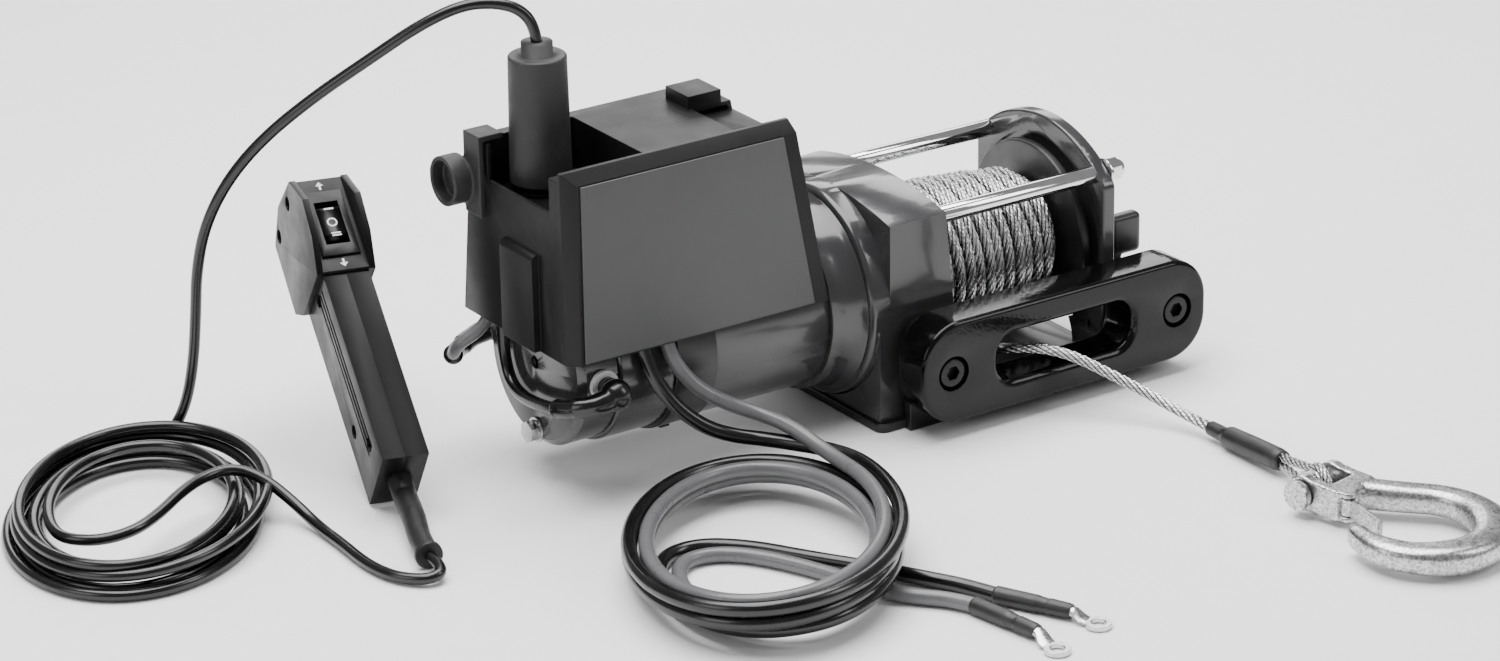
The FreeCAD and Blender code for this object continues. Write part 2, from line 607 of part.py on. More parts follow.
def dog_sector(number, lag, start):
    """A 24 degree sector of a disc about the winch's axis, for one clutch dog."""
    reach, half = 30, math.radians(12)
    middle = math.radians(60 * number + lag)
    corners = [Vector(), Vector(0, reach * math.cos(middle - half), reach * math.sin(middle - half)),
               Vector(0, reach * math.cos(middle + half), reach * math.sin(middle + half)), Vector()]
    item = solid(Part.Face(Part.makePolygon(corners)).extrude(Vector(7, 0, 0)))
    place(item, (start, "0", "axis_height"))
    return item


def drive_and_clutch():
    at = ("0", "axis_height")
    shaft = fused(cylinder("X", "shaft_radius", "80.6", ("-60", *at)),
                  prism("X", 6, "shaft_hex / 2 / cos(30)", "14", ("20.6", *at)),
                  cylinder("X", "5.5", "20", ("33", *at)))
    node("drive_shaft", shaft)
    hub = cylinder("X", "14", "9", ("24.6", *at))
    sleeve = cylinder("X", "9.9", "22", ("32", *at))
    lugs = [cut(overlap(cylinder("X", "19.3", "4.2", ("24.6", *at)), dog_sector(number, 30, "23")),
                cylinder("X", "13", "60", ("0", *at))) for number in range(6)]
    node("clutch_dog", cut(fused(hub, sleeve, *lugs),
                           prism("X", 6, "(shaft_hex + 0.15) / 2 / cos(30)", "16", ("22", *at)),
                           cylinder("X", "5.6", "70", ("20", *at))))
    hub = cylinder("X", "15", "13.2", ("plate_out + 0.4", *at))
    hub = rounded(hub, 2.5, lambda edge: edge.CenterOfMass.x > 60)
    arm = block("6", "43", "12", ("plate_out + 1.4", "-43", "axis_height - 6"))
    paddle = block("17", "7", "19", ("plate_out + 1.4", "-43.5", "axis_height - 4"))
    paddle = rounded(paddle, 2.4, lambda edge: True)
    node("clutch_lever", cut(fused(hub, arm, paddle),
                             cylinder("X", "10.1", "11", ("plate_out - 0.5", *at))))


# ---------------------------------------------------------------- control box

def tapered_box(left, right_low, right_high, front, back_low, back_high, bottom, top):
    """A box whose right and back walls lean in towards the top."""
    item = doc.addObject("Part::Wedge", "tapered_box")
    sizes = {"Xmin": left, "X2min": left, "Xmax": right_low, "X2max": right_high, "Ymin": bottom,
             "Ymax": top, "Zmin": f"-({back_low})", "Z2min": f"-({back_high})", "Zmax": f"-({front})",
             "Z2max": f"-({front})"}
    for name, text in sizes.items():
        item.setExpression(name, bound(text))
    item.Placement = Placement(Vector(), Rotation(X_AXIS, 90))
    return item


def control_box():
    """Moulded cover with its socket recess, and the contactor and socket that it hides."""
    outer = tapered_box("box_left", "box_right_low", "box_right_high", "box_front", "box_back_low",
                        "box_back_high", "box_bottom", "box_top")
    frame = tapered_box("box_left", "box_right_low + 1", "box_right_high + 0.5", "box_front",
                        "box_front + 9", "box_front + 7", "box_bottom", "box_top + 4")
    rail = block("17", "18", "14", ("-146", "2", "box_top - 8"))
    rib = block("5", "26", "44", ("box_left - 3.5", "-22", "box_bottom + 0.5"))
    rib = rounded(rib, 3, lambda edge: edge.CenterOfMass.z > d.box_bottom + 40 and edge.BoundBox.YLength > 10
                  and edge.CenterOfMass.x < d.box_left)
    inner = tapered_box("box_left + box_wall", "box_right_low - box_wall", "box_right_high - box_wall",
                        "box_front + 2 * box_wall", "box_back_low - box_wall", "box_back_high - box_wall",
                        "box_bottom - 5", "box_top - box_wall")
    outside = fused(outer, frame, rail, rib)
    outside.Refine = True
    shell = cut(outside, inner)
    tub = overlap(outer, block("recess_right - box_left + box_wall", "recess_back - recess_front + 2 * box_wall",
                               "40", ("box_left", "recess_front - box_wall", "socket_floor")))
    tub_hollow = block("recess_right - box_left - box_wall", "recess_back - recess_front", "60",
                       ("box_left + box_wall", "recess_front", "socket_floor + box_wall"))
    notch = block("10", "recess_back - 8 - recess_front", "60", ("box_left - 5", "recess_front",
                                                                 "socket_floor + 9"))
    step = block("60", "84", "20", ("step_left", "box_front + 9", "box_top - step_drop"))
    step = cut(step, block("60", "60", "60", ("step_left - 2.1", "2", "box_top - 30")))
    step_floor = overlap(outer, block("60", "84", "2.2", ("step_left - 2", "box_front + 5",
                                                          "box_top - step_drop - 2.2")))
    hole = cylinder("Z", "socket_radius + 0.1", "30", ("plug_x", "plug_y", "socket_floor - 20"))
    motor_gap = cylinder("X", "can_radius + 0.7", "60", ("-150", "0", "axis_height"))
    cover = cut(fused(shell, tub, step_floor), tub_hollow, notch, step, hole, motor_gap)
    node("control_box_cover", cut(cover, *front_bevels()))
    can = block("44", "44", "20", ("-187", "-22", "axis_height + strap_radius + 3"))
    coil = cylinder("X", "12", "40", ("-185", "0", "axis_height + strap_radius + 34"))
    node("contactor", fused(can, coil))
    socket = fused(cylinder("Z", "socket_radius", "socket_floor + 2 - 112", ("plug_x", "plug_y", "112")),
                   cylinder("Z", "socket_radius + 2.5", "1.5", ("plug_x", "plug_y",
                                                                 "socket_floor + box_wall")))
    node("plug_socket", cut(socket, cylinder("Z", "5.6", "30", ("plug_x", "plug_y", "119"))))


def front_bevels():
    """Wedges that chamfer the cover's front frame along its left and its top edge."""
    bevel = 5
    left = [Vector(d.box_left - 1, d.box_front - 1, 0), Vector(d.box_left + bevel, d.box_front - 1, 0),
            Vector(d.box_left + bevel, d.box_front, 0), Vector(d.box_left, d.box_front + bevel, 0),
            Vector(d.box_left - 1, d.box_front + bevel, 0)]
    rim = d.box_top + 4
    top = [Vector(0, d.box_front - 1, rim + 1), Vector(0, d.box_front - 1, rim - bevel),
           Vector(0, d.box_front, rim - bevel), Vector(0, d.box_front + bevel, rim),
           Vector(0, d.box_front + bevel, rim + 1)]
    wedges = []
    for outline, start, reach in ((left, Vector(0, 0, 60), Vector(0, 0, 110)),
                                  (top, Vector(d.box_left - 2, 0, 0), Vector(140, 0, 0))):
        face = Part.Face(Part.makePolygon(outline + outline[:1]))
        face.translate(start)
        wedges.append(solid(face.extrude(reach)))
    return wedges


def plug_and_cap():
    at = ("plug_x", "plug_y")
    body = cone("Z", "13.5", "12.6", "56.7", (*at, "131"))
    body = rounded(body, 1.2, lambda edge: edge.BoundBox.ZLength < 0.01)
    node("plug", fused(body, cylinder("Z", "5.5", "11.5", (*at, "119.6")),
                       cylinder("Z", "6.8", "6", (*at, "187.4"))))
    cup = cut(cylinder("X", "11", "9", ("box_left - 12.5", "34", "131")),
              cylinder("X", "9", "7.5", ("box_left - 14", "34", "131")))
    stem = block("2.6", "13", "30", ("box_left - 3.6", "18", "117"))
    over = block("12.3", "13", "2.6", ("box_left - 3.6", "18", "151"))
    riser = block("2.6", "13", "12", ("box_left - 3.6", "18", "141"))
    node("dust_cap", fused(cup, stem, riser, over))


# ---------------------------------------------------------------- handset

HANDSET_PLACE = Placement(Vector(-295.3, 3.7, 15.1), Rotation(-12.195, 1.281, -55.341))


def handset():
    """Two moulded halves split down the middle, a rocker in its bezel and five screws."""
    grip = block("grip_width", "grip_depth", "grip_length + 4", ("-grip_width / 2", "-grip_depth / 2", "0"))
    side = [(-3, 145), (22, 149.5), (42.5, 143), (44.5, 107), (34, 99), (-1, 96), (-10, 110), (-13, 128)]
    outline = [Vector(-d.head_width / 2, depth - d.grip_depth / 2, height) for depth, height in side]
    head = solid(Part.Face(Part.makePolygon(outline + outline[:1])).extrude(Vector(d.head_width, 0, 0)))
    well = block("20.8", "20", "70", ("-10.4", "-grip_depth / 2 - 21.5", "85"))
    hollow = block("grip_width - 4.6", "grip_depth - 4.6", "grip_length + 20",
                   ("-grip_width / 2 + 2.3", "-grip_depth / 2 + 2.3", "2.5"))
    head_hollow = block("head_width - 5", "34", "34", ("-head_width / 2 + 2.5", "-grip_depth / 2 + 4", "104"))
    gland_hole = cylinder("Z", "5.45", "10", ("0", "0", "-5"))
    window = block("13", "20", "27", ("-6.5", "-grip_depth / 2 - 10", "rocker_height - 13.5"))
    spots = [(16 - 17.5, 94, "grip_width"), (25 - 17.5, 31, "grip_width"), (11 - 17.5, 15, "grip_width"),
             (8 - 17.5, 141, "head_width"), (33 - 17.5, 141, "head_width")]
    wells = [cylinder("X", "3.2", "4", (f"-{width} / 2 - 1", str(depth), str(height)))
             for depth, height, width in spots]
    bores = [cylinder("X", "1.45", "30", ("-18", str(depth), str(height))) for depth, height, _ in spots]
    grooves = [block("0.9", "1.6", "82", ("-grip_width / 2", str(depth), "12")) for depth in (-10, -6.6, -3.2)]
    grooves += [block("0.9", "1.6", "82", ("grip_width / 2 - 0.9", str(depth), "12"))
                for depth in (-10, -6.6, -3.2)]
    posts = [overlap(cylinder("X", "4.4", width, (f"-{width} / 2", str(depth), str(height))),
                     fused(grip, head)) for depth, height, width in spots]
    case = cut(fused(grip, head), well, hollow, head_hollow, gland_hole, window)
    case = cut(fused(case, *posts), *grooves, *wells, *bores)
    for name, start in (("handset_left_shell", "-30"), ("handset_right_shell", "0.02")):
        half = overlap(case, block("30 - 0.02", "120", "200", (start, "-60", "-10")))
        half.Placement = HANDSET_PLACE
        node(name, half)
    screws = grouped(*[fused(cylinder("X", "2.9", "1.6", (f"-{width} / 2 + 1.4", str(depth), str(height))),
                             cylinder("X", "1.4", "15", (f"-{width} / 2 + 2.6", str(depth), str(height))))
                       for depth, height, width in spots])
    screws.Placement = HANDSET_PLACE
    node("handset_screws", screws)
    bezel = fused(block("17", "1.2", "34", ("-8.5", "-grip_depth / 2 - 2.75", "rocker_height - 17")),
                  block("12.6", "14", "26.4", ("-6.3", "-grip_depth / 2 - 1.6", "rocker_height - 13.2")))
    bezel = cut(bezel, block("10.6", "40", "22", ("-5.3", "-grip_depth / 2 - 20", "rocker_height - 11")))
    bezel.Placement = HANDSET_PLACE
    node("rocker_bezel", bezel)
    rocker = cut(cylinder("X", "rocker_radius", "10.2", ("-5.1", "rocker_depth", "rocker_height")),
                 cylinder("X", "26", "30", ("-15", "rocker_depth - 33", "rocker_height")),
                 block("30", "20", "30", ("-15", "rocker_depth + 5", "rocker_height - 15")))
    rocker.Placement = HANDSET_PLACE
    node("rocker_switch", rocker)


def local_point(x, y, z):
    return HANDSET_PLACE.multVec(Vector(x, y, z))


# ---------------------------------------------------------------- cords and rope

def tube(label, points, diameter):
    """A round cord along straight runs joined by tangent arcs, as one closed solid."""
    points = [Vector(*point) for point in points]
    edges, radii = [], []
    start = points[0]
    for before, corner, after in zip(points, points[1:], points[2:]):
        inward, outward = (before - corner), (after - corner)
        reach = 0.45 * min(inward.Length, outward.Length)
        inward.normalize()
        outward.normalize()
        half_turn = (math.pi - inward.getAngle(outward)) / 2
        radii.append(reach / math.tan(half_turn))
        first, last = corner + inward * reach, corner + outward * reach
        bisector = (inward + outward).normalize()
        centre = corner + bisector * math.hypot(radii[-1], reach)
        middle = centre - bisector * radii[-1]
        edges += [Part.LineSegment(start, first).toShape(), Part.Arc(first, middle, last).toShape()]
        start = last
    edges.append(Part.LineSegment(start, points[-1]).toShape())
    path = Part.Wire(edges)
    ring = Part.Wire(Part.makeCircle(diameter / 2, points[0], points[1] - points[0]))
    shape = path.makePipeShell([ring], True, False)
    share = shape.Volume / (math.pi * diameter ** 2 / 4 * path.Length)
    print(f"{label}: length {path.Length:.0f}, smallest arc {min(radii):.1f} of {diameter}, volume x{share:.4f}")
    return node(label, solid(shape))


def coil(label, centre, outer, hollow, height, heading):
    """The outer shape of loose turns lying on the floor: an oval ring with a flat bottom."""
    rings = []
    for semi in (outer, hollow):
        oval = Part.Ellipse(Vector(), semi[0], semi[1])
        rings.append(Part.Face(Part.Wire(oval.toShape())).extrude(Vector(0, 0, height)))
    item = solid(rings[0].cut(rings[1]))
    item.Placement = Placement(Vector(*centre), Rotation(Z_AXIS, heading))
    return node(label, item)


REMOTE_RISE = [(-215.8, 10.5, 193.4), (-216.4, 11.5, 201), (-221.5, 14.5, 208), (-231, 18.5, 211.5),
               (-244, 24, 211.5), (-260, 33, 203), (-276, 45, 189), (-296, 61, 171), (-313, 76, 152),
               (-325, 88, 132), (-332.5, 97, 110), (-335, 102.5, 88), (-334.5, 107, 65), (-335, 111, 42),
               (-337, 116, 22), (-342, 119.5, 9.5), (-350, 121.5, 4.4), (-358, 119, 3.4), (-366, 113, 4)]
REMOTE_TAIL = [(-397, 29, 11), (-381, 38.5, 19.2), (-366, 45.5, 20), (-352, 46, 20), (-342.5, 37, 16),
               (-336.5, 22.9, 8.5), (-334.5, 5, 3), (-334.8, -16, 2.7), (-336.2, -34, 2.7),
               (-335.5, -47, 2.7), (-332, -59, 2.8), (-323, -69, 3.4), (-314.5, -66, 5), (-314.9, -54, 6.2)]
GREY_LEAD = [(-188, -36, 87), (-188, -38.4, 78), (-187.7, -41, 66), (-184.5, -45, 55), (-177, -50, 45),
             (-166.5, -56, 38), (-156, -64, 33), (-149, -77, 29.5), (-144.5, -95, 25.5), (-143.5, -113, 21)]
BLACK_LEAD = [(-200, -36, 87), (-200, -38.4, 78), (-199.7, -41, 67), (-197.5, -45, 55), (-191, -50.5, 42),
              (-180, -56.5, 31), (-168, -62, 25.5), (-156, -69, 22), (-146, -80, 19), (-140.5, -95, 15)]
GREY_TAIL = [(-178, -190, 3.6), (-170, -200, 3.5), (-161, -209.5, 3.5), (-156.5, -220, 3.5)]
BLACK_TAIL = [(-163, -178, 3.6), (-156, -190, 3.5), (-148.5, -203, 3.5), (-143.5, -217, 3.5)]
FRONT_LEAD = [(-224.2, -49.2, 51), (-231, -47.5, 50), (-236.8, -40, 47.5), (-237.5, -28, 44),
              (-236, -12, 40.5), (-234, 4, 38.5), (-232.6, 15, 42), (-232.2, 19.5, 53), (-232.2, 20, 67),
              (-232, 20, 80.5)]
BACK_LEAD = [(-224.2, 49.2, 51), (-232, 49.5, 48.6), (-240.5, 46.5, 46), (-246.3, 39.5, 47.5),
             (-246.5, 34, 55), (-239.5, 30.5, 59.5), (-232.4, 29.5, 66), (-230.8, 29, 78)]
FREE_ROPE = [(-34, -15, 17.2), (-31, -37, 22), (-24, -56, 28.5), (-12, -69, 30.6), (-1, -79, 28),
             (10, -92, 21), (21, -107, 13.2), (27.5, -122, 8), (30.8, -138, 5.6), (31, -150, 5.4)]


def cords():
    tube("remote_cord", REMOTE_RISE, d.remote_cord_diameter)
    coil("remote_cord_coil", (-392, 57, 0), (84, 62), (36, 20), 16, 56)
    tube("remote_cord_tail", REMOTE_TAIL, d.remote_cord_diameter)
    tube("grey_supply_lead", GREY_LEAD, d.supply_diameter)
    tube("black_supply_lead", BLACK_LEAD, d.supply_diameter)
    coil("supply_coil", (-203, -137, 0), (90, 63), (48, 26), 25, 56)
    tube("grey_supply_tail", GREY_TAIL, d.supply_diameter)
    tube("black_supply_tail", BLACK_TAIL, d.supply_diameter)
    tube("free_rope", FREE_ROPE, d.rope_diameter)
    motor_leads()
    cable_lugs()
    strain_relief()


def rod_between(start, end, radius, radius_end=None):
    start, end = Vector(*start), Vector(*end)
    if radius_end is None or radius_end == radius:
        return Part.makeCylinder(radius, (end - start).Length, start, end - start)
    return Part.makeCone(radius, radius_end, (end - start).Length, start, end - start)


def motor_leads():
    """Insulated studs at the motor's front and back, with rubber boots, and the leads up to the box."""
    studs, washers, boots = [], [], []
    for side, washer_start, barrel_start, stud_start in ((-1, "-40.1", "-47.3", "-46"),
                                                         (1, "37.7", "40.3", "24")):
        washers.append(cylinder("Y", "6.6", "2.4", ("stud_x", washer_start, "axis_height")))
        barrel = cylinder("Y", "4.6", "7", ("stud_x", barrel_start, "axis_height"))
        boots.append(fused(barrel, ball("7", ("stud_x", f"{side} * 48", "axis_height - 1.5"))))
        studs.append(cylinder("Y", "3", "22", ("stud_x", stud_start, "axis_height")))
    covered = [cut(boot, stud) for boot, stud in zip(boots, studs)]
    insulated = [fused(washer, stud) for washer, stud in zip(washers, studs)]
    node("motor_terminals", grouped(*covered, *insulated))
    tube("front_motor_lead", FRONT_LEAD, d.motor_lead_diameter)
    tube("back_motor_lead", BACK_LEAD, d.motor_lead_diameter)


def cable_lugs():
    """Crimped ring terminals, each in a sleeve, on the ends of the supply leads."""
    sleeves, lugs = [], []
    ends = [((-156.5, -220, 3.5), (-152, -247, 3.6), (-151.2, -268, 2.2)),
            ((-143.5, -217, 3.5), (-131.5, -241, 3.6), (-123.5, -259, 2.2))]
    for start, crimp, eye in ends:
        start, crimp, eye = Vector(*start), Vector(*crimp), Vector(*eye)
        heading = (crimp - start).normalize()
        sleeves.append(solid(rod_between(start, crimp, 3.5)))
        neck = rod_between(crimp, crimp + heading * 8, 2.6)
        ring = Part.makeCylinder(5.6, 1.8, eye - Vector(0, 0, 1.6))
        bridge = Part.makeBox(14, 6.4, 1.8, Vector(-1, -3.2, -0.9))
        bridge.Placement = Placement(crimp + heading * 6 - Vector(0, 0, 2),
                                     Rotation(X_AXIS, Vector(heading.x, heading.y, 0)))
        bore = Part.makeCylinder(3.2, 10, eye - Vector(0, 0, 5))
        lugs.append(solid(neck.fuse([ring, bridge]).cut(bore)))
    node("cable_lugs", grouped(*lugs, *sleeves))


def strain_relief():
    """Tapered rubber sleeve from the handset's end to a collar on the floor."""
    points = [local_point(0, 0, 2.4), local_point(0, 0, -9), Vector(-303.5, -22, 8.6),
              Vector(-309.5, -36.5, 6.7), Vector(-314, -50.7, 6.3)]
    collar = (Vector(-314.9, -54, 6.2) - points[-1]).normalize()
    places = points + [points[-1] + collar * step for step in (0.4, 3.4)]
    headings = [points[1] - points[0]] + [after - before for before, after in zip(points, points[2:])]
    headings += [collar, collar, collar]
    radii = [5.4, 5.3, 5.1, 4.9, 4.7, 6.0, 6.0]
    rings = [Part.Wire(Part.makeCircle(radius, at, heading))
             for radius, at, heading in zip(radii, places, headings)]
    node("strain_relief", solid(Part.makeLoft(rings, True, True)))


# ---------------------------------------------------------------- hook

HOOK_PLACE = Placement(Vector(23, -222, 10.3), Rotation(-79.35, 1.5, 0))


def hook():
    """Clevis hook: ears round the rope's eye, a round bowl and a sprung latch."""
    bowl = Vector(d.bowl_middle, -2, 0)

    def on_bowl(degrees, radius=d.hook_bowl):
        angle = math.radians(degrees)
        return bowl + Vector(radius * math.cos(angle), radius * math.sin(angle), 0)

    start = Vector(17, 6, 0)
    path = Part.Wire([Part.LineSegment(start, on_bowl(121)).toShape(),
                      Part.Arc(on_bowl(121), on_bowl(0), on_bowl(-128)).toShape()])
    ring = Part.Wire(Part.makeCircle(d.hook_stock, start, on_bowl(121) - start))
    stock = path.makePipeShell([ring], True, False)
    parts = [Part.makeSphere(d.hook_stock, on_bowl(-128)),
             Part.makeBox(7, 24, 14, Vector(12.5, -12, -7))]
    for low in (-12, 7.2):
        parts.append(Part.makeBox(16, 4.8, 14, Vector(0, low, -7)))
        parts.append(Part.makeCylinder(7.8, 4.8, Vector(0, low, 0), Y_AXIS))
    for low in (-6.8, 4.3):
        parts.append(Part.makeCylinder(4, 2.5, Vector(21, -7, low)))
        parts.append(Part.makeBox(6, 8, 2.5, Vector(17.5, -6, low)))
    shape = stock.fuse(parts)
    shape = shape.cut(Part.makeCylinder(d.hook_pin + 0.03, 60, Vector(0, -30, 0), Y_AXIS))
    shape = shape.cut(Part.makeCylinder(4.6, 8.4, Vector(21, -7, -4.2)))
    shape = shape.cut(Part.makeBox(30, 9, 8.4, Vector(21, -11.5, -4.2)))
    node("hook", hooked(shape.removeSplitter()))
    pin = Part.makeCylinder(d.hook_pin, 31, Vector(0, -16, 0), Y_AXIS)
    pin = pin.fuse(Part.makeCylinder(6.2, 3.2, Vector(0, -16.2, 0), Y_AXIS))
    node("clevis_pin", hooked(pin.cut(Part.makeCylinder(0.9, 12, Vector(0, 13.2, -6)))))
    reach = Vector(45.5, -15.6, 0) - Vector(21, -7, 0)
    blade = Part.makeBox(reach.Length, 2.4, 7.8, Vector(0, -1.2, -3.9))
    blade.Placement = Placement(Vector(21, -7, 0), Rotation(X_AXIS, reach))
    latch = blade.fuse(Part.makeCylinder(3.4, 7.8, Vector(21, -7, -3.9)))
    node("hook_latch", hooked(latch))


def hooked(shape):
    item = solid(shape)
    item.Placement = HOOK_PLACE
    return item


def rope_end():
    """Pressed sleeve on the rope and the eye that the clevis pin passes through."""
    bend, press, eye = Vector(31, -150, 5.4), Vector(31, -189, 7.2), HOOK_PLACE.Base
    sleeve = rod_between(Vector(30.8, -139, 5.55), bend, 3.6).fuse(rod_between(bend, press, 5.1))
    sleeve = sleeve.cut(rod_between(Vector(30.8, -138, 5.55), bend, d.rope_diameter / 2))
    along_eye = Vector(press.x - eye.x, press.y - eye.y, 0).normalize()
    across = along_eye.cross(Z_AXIS)
    neck = Part.makeCone(7.0, 4.2, (press - eye).Length, eye, press - eye)
    loop = Part.makeCylinder(9.2, 5.6, eye - across * 2.8, across).fuse(neck)
    loop = loop.cut(Part.makeCylinder(5.9, 40, eye - across * 20, across))
    slab = Part.makeBox(90, 5.6, 40, Vector(-45, -2.8, -20))
    slab.Placement = Placement(eye, Rotation(Y_AXIS, across))
    node("rope_eye", grouped(solid(sleeve), solid(loop.common(slab).cut(sleeve))))


mounting_bracket()
foot_screws()
fairlead()
gear_housing()
motor_adapter()
end_plate()
tie_rods()
motor()
armature()
gears()
drum()
drive_and_clutch()
control_box()
plug_and_cap()
handset()
cords()
hook()
rope_end()

doc.recompute()
problems = [item.Label for item in doc.Objects if "Invalid" in item.State or "Error" in item.State]
for item in NODES:
    if item.Shape.isNull() or not item.Shape.isValid() or not item.Shape.Solids:
        problems.append(item.Label)
    print(f"{item.Label:22s} solids {len(item.Shape.Solids)}  volume {item.Shape.Volume / 1000:9.2f} cm3")
if problems:
    raise SystemExit("failed: " + ", ".join(sorted(set(problems))))
os.makedirs("parts", exist_ok=True)
for item in NODES:
    item.Shape.exportStep(f"parts/{item.Label}.step")
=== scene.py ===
import json
import math

import bmesh
import bpy
from mathutils import Matrix, Vector


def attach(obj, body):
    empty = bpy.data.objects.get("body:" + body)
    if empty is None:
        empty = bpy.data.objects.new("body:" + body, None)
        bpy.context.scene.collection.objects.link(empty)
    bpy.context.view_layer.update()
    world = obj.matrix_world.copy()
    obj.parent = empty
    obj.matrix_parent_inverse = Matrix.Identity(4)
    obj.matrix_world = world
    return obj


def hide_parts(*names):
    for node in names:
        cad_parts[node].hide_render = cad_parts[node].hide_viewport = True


# An electric trailer winch with its wire rope, hook, hand control and supply leads, in metres.
# +X runs from the motor to the drum, -Y is the rope's side and the floor is at Z = 0.

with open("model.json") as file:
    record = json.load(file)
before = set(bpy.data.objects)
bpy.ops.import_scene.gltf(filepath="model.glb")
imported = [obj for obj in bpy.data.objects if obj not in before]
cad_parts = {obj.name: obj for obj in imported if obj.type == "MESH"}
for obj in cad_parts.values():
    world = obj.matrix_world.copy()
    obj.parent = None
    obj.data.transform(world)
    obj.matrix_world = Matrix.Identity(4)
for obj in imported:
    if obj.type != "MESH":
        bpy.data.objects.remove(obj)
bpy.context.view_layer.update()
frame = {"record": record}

MM = 0.001
TURN = 2 * math.pi
STRANDS = 6
AXIS_HEIGHT = 53.75 * MM


# ---------------------------------------------------------------- camera, floor and light

def camera():
    data = bpy.data.cameras.new("camera")
    data.sensor_width = 36
    data.lens = 119.24
    data.clip_start, data.clip_end = 0.1, 30
    shot = bpy.data.objects.new("camera", data)
    right, up = Vector((0.8285, -0.5598, -0.0155)), Vector((0.2259, 0.3089, 0.9239))
    back = Vector((-0.5124, -0.7689, 0.3824))
    turned_to = Matrix((right, up, back)).transposed().to_4x4()
    shot.matrix_world = Matrix.Translation((-1.2397, -1.6843, 0.8788)) @ turned_to
    bpy.context.collection.objects.link(shot)
    bpy.context.scene.camera = shot


def soft_light(name, at, towards, width, height, watts):
    data = bpy.data.lights.new(name, "AREA")
    data.shape = "RECTANGLE"
    data.size, data.size_y = width, height
    data.energy = watts
    lamp = bpy.data.objects.new(name, data)
    lamp.location = at
    lamp.rotation_mode = "QUATERNION"
    lamp.rotation_quaternion = (Vector(towards) - Vector(at)).to_track_quat("-Z", "Y")
    bpy.context.collection.objects.link(lamp)


def studio():
    """A white paper floor, a large softbox above, a smaller one on each side and one behind."""
    middle = (-0.1, -0.05, 0.08)
    soft_light("top_softbox", (-0.15, 0.15, 1.35), middle, 1.6, 1.1, 52)
    soft_light("left_softbox", (-1.5, -0.1, 0.6), middle, 0.7, 0.7, 4)
    soft_light("right_softbox", (0.9, -1.1, 1.1), middle, 0.5, 0.9, 8)
    soft_light("back_softbox", (0.6, 1.5, 0.8), middle, 1.4, 0.6, 12)
    world = bpy.data.worlds.new("surroundings")
    world.use_nodes = True
    world.node_tree.nodes["Background"].inputs["Color"].default_value = (1, 1, 1, 1)
    world.node_tree.nodes["Background"].inputs["Strength"].default_value = 0.3
    bpy.context.scene.world = world
    bm = bmesh.new()
    bmesh.ops.create_grid(bm, x_segments=1, y_segments=1, size=6)
    floor = bpy.data.objects.new("floor", new_mesh("floor", bm))
    floor.location.z = -0.2 * MM
    bpy.context.collection.objects.link(floor)
    floor.data.materials.append(surface("white_paper_sweep", "#F6F6F6", "#FAFAFA", 0.9, 0.02, 20, 0.6, 0.0)[0])


# ---------------------------------------------------------------- materials

def linear(hex_colour):
    """An sRGB hex value as linear RGBA."""
    parts = [int(hex_colour[place:place + 2], 16) / 255 for place in (1, 3, 5)]
    return (*(part / 12.92 if part <= 0.04045 else ((part + 0.055) / 1.055) ** 2.4 for part in parts), 1)


def add(tree, kind, inputs=None, **settings):
    """One node: settings are its own properties, inputs its sockets' values or what is linked to them."""
    made = tree.nodes.new("ShaderNode" + kind)
    for name, value in settings.items():
        setattr(made, name, value)
    for name, value in (inputs or {}).items():
        if isinstance(value, bpy.types.NodeSocket):
            tree.links.new(value, made.inputs[name])
        else:
            made.inputs[name].default_value = value
    return made


def surface(name, dark, light, roughness, spread, patch, grain, depth, **sockets):
    """A material whose colour and roughness drift over patches and whose skin has a fine grain.

    patch, grain and depth are the patches' size, the grain's size and its depth, in millimetres.
    """
    material = bpy.data.materials.new(name)
    material.use_nodes = True
    tree = material.node_tree
    shader = tree.nodes["Principled BSDF"]
    for socket, value in sockets.items():
        shader.inputs[socket.replace("_", " ")].default_value = value
    place = add(tree, "TexCoord").outputs["Object"]
    drift = add(tree, "TexNoise", {"Vector": place, "Scale": 1000 / patch, "Detail": 4.0, "Roughness": 0.6})
    colour = add(tree, "Mix", {0: drift.outputs["Fac"], 6: linear(dark), 7: linear(light)}, data_type="RGBA")
    tree.links.new(colour.outputs[2], shader.inputs["Base Color"])
    rough = add(tree, "MapRange", {"Value": drift.outputs["Fac"], "From Min": 0.3, "From Max": 0.7,
                                   "To Min": roughness - spread, "To Max": roughness + spread})
    tree.links.new(rough.outputs["Result"], shader.inputs["Roughness"])
    if depth:
        skin = add(tree, "TexNoise", {"Vector": place, "Scale": 1000 / grain, "Detail": 2.0})
        bump = add(tree, "Bump", {"Height": skin.outputs["Fac"], "Distance": depth * MM, "Strength": 1.0})
        tree.links.new(bump.outputs["Normal"], shader.inputs["Normal"])
    return material, tree, shader


